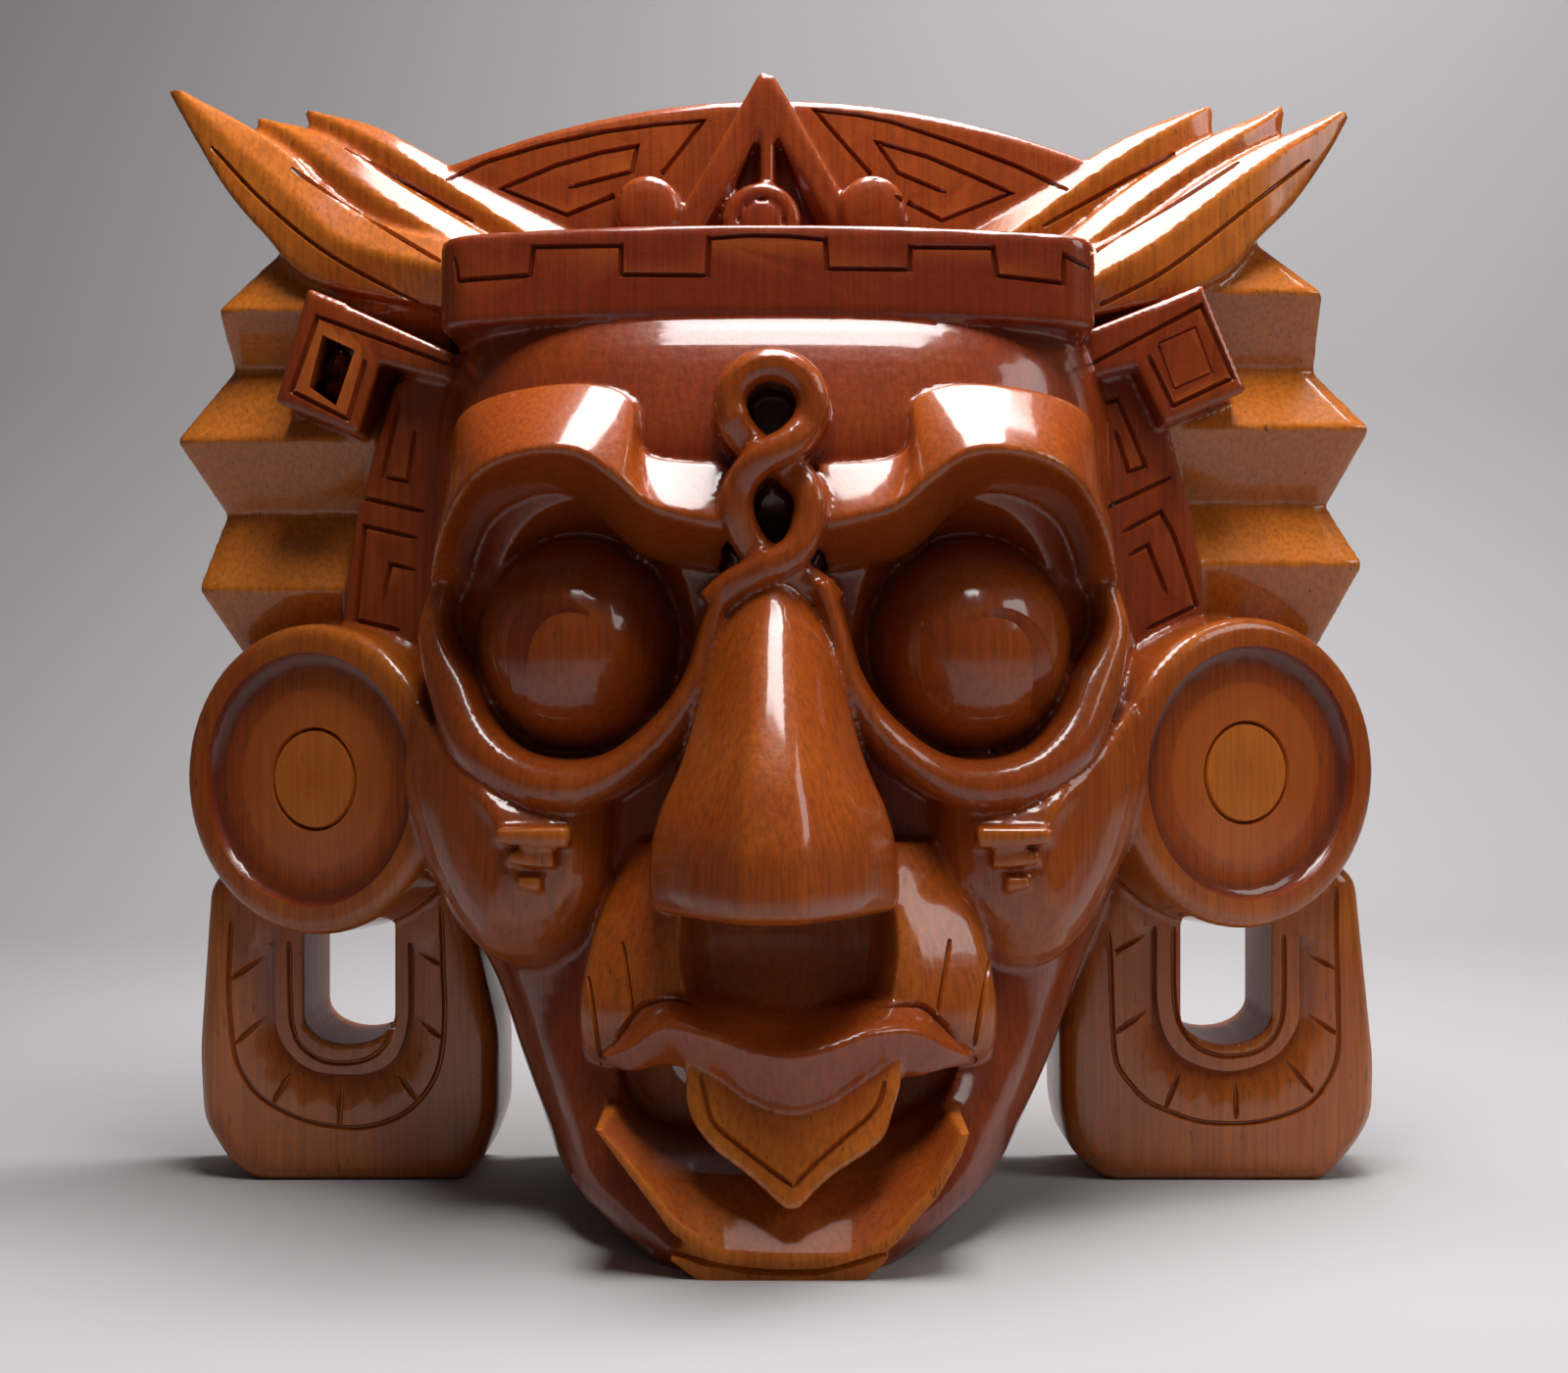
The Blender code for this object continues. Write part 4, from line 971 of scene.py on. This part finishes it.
def layStain(mesh):  # each place takes the stain of the form it was carved from
    places, normals, edges, count = read(mesh)
    points, faces, owners = [], [], []
    for stain, form in stainedForms:
        start = len(points)
        points += [v.co.copy() for v in form.vertices]
        faces += [[start + i for i in p.vertices] for p in form.polygons]
        owners += [stain] * len(form.polygons)
    forms = BVHTree.FromPolygons(points, faces)
    nearest = [owners[forms.find_nearest(Vector(p))[2]] for p in places]
    tone = np.array([stains[name] for name in nearest])
    stored(mesh, "stain", smoothOver(tone[:, None], edges, count, 4)[:, 0])
    gloss = np.array([dull.get(name, 1.0) for name in nearest])
    edge = np.array([name == "pendant" for name in nearest]) * (np.abs(normals[:, 0]) > 0.8)
    stored(mesh, "gloss", smoothOver(np.where(edge, dull["edge"], gloss)[:, None], edges, count, 1)[:, 0])
    crevice = mesh.attributes["crevice"].data
    for i, name in enumerate(nearest):  # the lid cuts keep the colour of the eye, with a quarter of the painted groove shade
        if name == "eye":
            crevice[i].value *= 0.25


layStain(mask.data)
print("stain laid")


class Wire:  # one socket, with arithmetic
    def __init__(self, tree, socket=None):
        self.tree = tree
        self.socket = socket

    def node(self, kind, settings=None, inputs=None, output=0):
        made = self.tree.nodes.new("ShaderNode" + kind)
        for name, value in (settings or {}).items():
            if name == "stops":
                ramp = made.color_ramp
                while len(ramp.elements) < len(value):
                    ramp.elements.new(0.5)
                for element, (position, colour) in zip(ramp.elements, value):
                    element.position = position
                    element.color = colour
            else:
                setattr(made, name, value)
        for name, value in (inputs or {}).items():
            if isinstance(value, Wire):
                self.tree.links.new(value.socket, made.inputs[name])
            else:
                made.inputs[name].default_value = value
        return Wire(self.tree, made.outputs[output])

    def maths(self, operation, first, second):
        return self.node("Math", {"operation": operation}, {0: first, 1: second})

    def __add__(self, other): return self.maths('ADD', self, other)
    def __radd__(self, other): return self.maths('ADD', other, self)
    def __sub__(self, other): return self.maths('SUBTRACT', self, other)
    def __rsub__(self, other): return self.maths('SUBTRACT', other, self)
    def __mul__(self, other): return self.maths('MULTIPLY', self, other)
    def __rmul__(self, other): return self.maths('MULTIPLY', other, self)

    def between(self, low, high):  # 0 below low, 1 above high
        return self.node("MapRange", {"interpolation_type": 'SMOOTHSTEP'},
                         {"Value": self, "From Min": low, "From Max": high, "To Min": 0.0, "To Max": 1.0})

    def mixed(self, first, second):  # colours, self is the share of the second
        return self.node("Mix", {"data_type": 'RGBA'}, {0: self, 6: first, 7: second}, 2)

    def stretched(self, x, y, z):
        return self.node("Mapping", None, {"Vector": self, "Scale": (x, y, z)})

    def noise(self, scale, detail=2.0, rough=0.5):
        inputs = {"Vector": self, "Scale": scale, "Detail": detail, "Roughness": rough}
        return self.node("TexNoise", None, inputs)


# honey, brown and mahogany are stains, pore is grain, edge is wear on ridges; the crevice colour is painted
# shade, with stain pooled in the grooves
finish = {"honey": (0.50, 0.135, 0.012, 1), "brown": (0.30, 0.052, 0.005, 1),
          "mahogany": (0.19, 0.022, 0.0045, 1), "pore": (0.030, 0.008, 0.003, 1),
          "crevice": (0.014, 0.003, 0.0016, 1), "edge": (0.52, 0.12, 0.02, 1)}


def lacqueredWood():
    wood = bpy.data.materials.new("lacquered_wood")
    wood.use_nodes = True
    tree = wood.node_tree
    shader = tree.nodes["Principled BSDF"]
    start = Wire(tree)
    place = start.node("TexCoord", None, None, 3)
    stain, crevice, hollow_shade, gloss = [start.node("Attribute", {"attribute_name": name}, None, 2)
                                   for name in ("stain", "crevice", "hollow", "gloss")]
    streaks = place.stretched(60, 60, 5).noise(1.0, 4.0, 0.6)
    fibres = place.stretched(900, 900, 30).noise(1.0, 2.0, 0.5)
    pores = place.stretched(1500, 1500, 190).noise(1.0, 1.0, 0.4).between(0.69, 0.77)
    patches = place.noise(22, 3.0, 0.55)
    # broad hollows are pulled towards mahogany: painted shade
    tone = stain + (patches - 0.5) * 0.5 + (streaks - 0.5) * 0.35 + hollow_shade * 0.10
    low = tone.between(0.05, 0.55)
    high = tone.between(0.5, 1.0)
    colour = high.mixed(low.mixed(finish["honey"], finish["brown"]), finish["mahogany"])
    colour = (fibres.between(0.35, 0.7) * 0.28).mixed(colour, finish["pore"])
    colour = (pores * (1.05 - stain) * 0.8).mixed(colour, finish["pore"])
    colour = ((0 - crevice).between(0.12, 0.5) * 0.4).mixed(colour, finish["edge"])
    # grooves pulled to near black: painted shade, together with stain pooled in them
    colour = (crevice.between(0.35, 1.0) * 0.75).mixed(colour, finish["crevice"])
    rough = 0.62 - gloss * 0.26 + pores * 0.2 + crevice.between(0.2, 0.8) * 0.25
    shader.inputs["Specular IOR Level"].default_value = 0.15
    shader.inputs["Coat Roughness"].default_value = 0.11
    peel = place.noise(420, 2.0, 0.5)
    specks = place.noise(1300, 1.0, 0.5).between(0.74, 0.82)
    waves = place.stretched(60, 60, 20).noise(1.0, 2.0, 0.5)
    height = peel * 0.7 + specks * 0.3 - pores * 0.25 + waves * 1.6
    bump = start.node("Bump", None, {"Height": height, "Strength": 0.3, "Distance": 0.0006})
    surface = {"Base Color": colour, "Roughness": rough, "Coat Weight": gloss * 0.9, "Normal": bump}
    for name, wire in surface.items():
        tree.links.new(wire.socket, shader.inputs[name])
    return wood


mask.data.materials.clear()
mask.data.materials.append(lacqueredWood())
mask.data.polygons.foreach_set("material_index", [0] * len(mask.data.polygons))
mask.data.polygons.foreach_set("use_smooth", [True] * len(mask.data.polygons))
mask.data.set_sharp_from_angle(angle=math.radians(38))
flatter = mask.modifiers.new("even normals", 'WEIGHTED_NORMAL')
flatter.keep_sharp = True
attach(mask, "root")
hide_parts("mask")
print("mask finished")

# Studio
studio = {"floor": (0.44, 0.425, 0.43, 1), "back": 0.95, "bend": 0.35, "sky": 0.05,
          "lens": 48.2, "camera": (0.00425, -0.5275, 0.1337)}
lamps = (  # place, target, width, height, power, spread in degrees
    ("overhead", (0.05, -0.055, 0.66), (0, -0.05, 0.10), 0.5, 0.24, 6.4, 180),
    ("right side", (0.85, -0.35, 0.70), (0, 0, 0.15), 0.45, 0.45, 2.5, 180),
    ("backdrop wash", (0.40, 0.30, 1.45), (0.22, 0.95, 0.25), 0.6, 0.4, 7.4, 110),
)


def carveSweep():  # floor that turns up into the backdrop
    bm = bmesh.new()
    bend, start = studio["bend"], studio["back"] - studio["bend"]
    profile = [(-3.0, 0.0), (start, 0.0)]
    for i in range(1, 17):
        turn = math.radians(90 * i / 16)
        profile.append((start + bend * math.sin(turn), bend - bend * math.cos(turn)))
    profile.append((studio["back"], 3.0))
    verts = [bm.verts.new((-4.0, y, z)) for y, z in profile]
    edges = [bm.edges.new(pair) for pair in zip(verts, verts[1:])]
    made = bmesh.ops.extrude_edge_only(bm, edges=edges)["geom"]
    bmesh.ops.translate(bm, vec=(8.0, 0, 0), verts=[v for v in made if isinstance(v, bmesh.types.BMVert)])
    bmesh.ops.recalc_face_normals(bm, faces=bm.faces)
    mesh = meshOf(bm, "sweep")
    mesh.polygons.foreach_set("use_smooth", [True] * len(mesh.polygons))
    sweep = placed("sweep", mesh)
    paper = bpy.data.materials.new("grey_paper")
    paper.use_nodes = True
    shader = paper.node_tree.nodes["Principled BSDF"]
    shader.inputs["Base Color"].default_value = studio["floor"]
    shader.inputs["Roughness"].default_value = 0.9
    mesh.materials.append(paper)


def softbox(name, place, target, width, height, power, spread):
    light = bpy.data.lights.new(name, 'AREA')
    light.shape = 'RECTANGLE'
    light.size, light.size_y, light.energy = width, height, power
    light.spread = math.radians(spread)
    thing = placed(name, light)
    thing.location = place
    thing.rotation_euler = (Vector(target) - Vector(place)).to_track_quat('-Z', 'Y').to_euler()


def lightStudio():
    for lamp in lamps:
        softbox(*lamp)
    world = bpy.data.worlds.new("studio")
    world.use_nodes = True
    sky = world.node_tree.nodes["Background"]
    sky.inputs["Color"].default_value = (1.0, 0.99, 0.985, 1)
    sky.inputs["Strength"].default_value = studio["sky"]
    bpy.context.scene.world = world
    bpy.context.scene.view_settings.view_transform = 'Standard'
    camera = bpy.data.cameras.new("camera")
    camera.lens = studio["lens"]
    camera.sensor_width = 36
    thing = placed("camera", camera)
    thing.location = studio["camera"]
    thing.rotation_euler = (math.radians(90), 0, 0)
    bpy.context.scene.camera = thing


carveSweep()
lightStudio()
print("studio set")
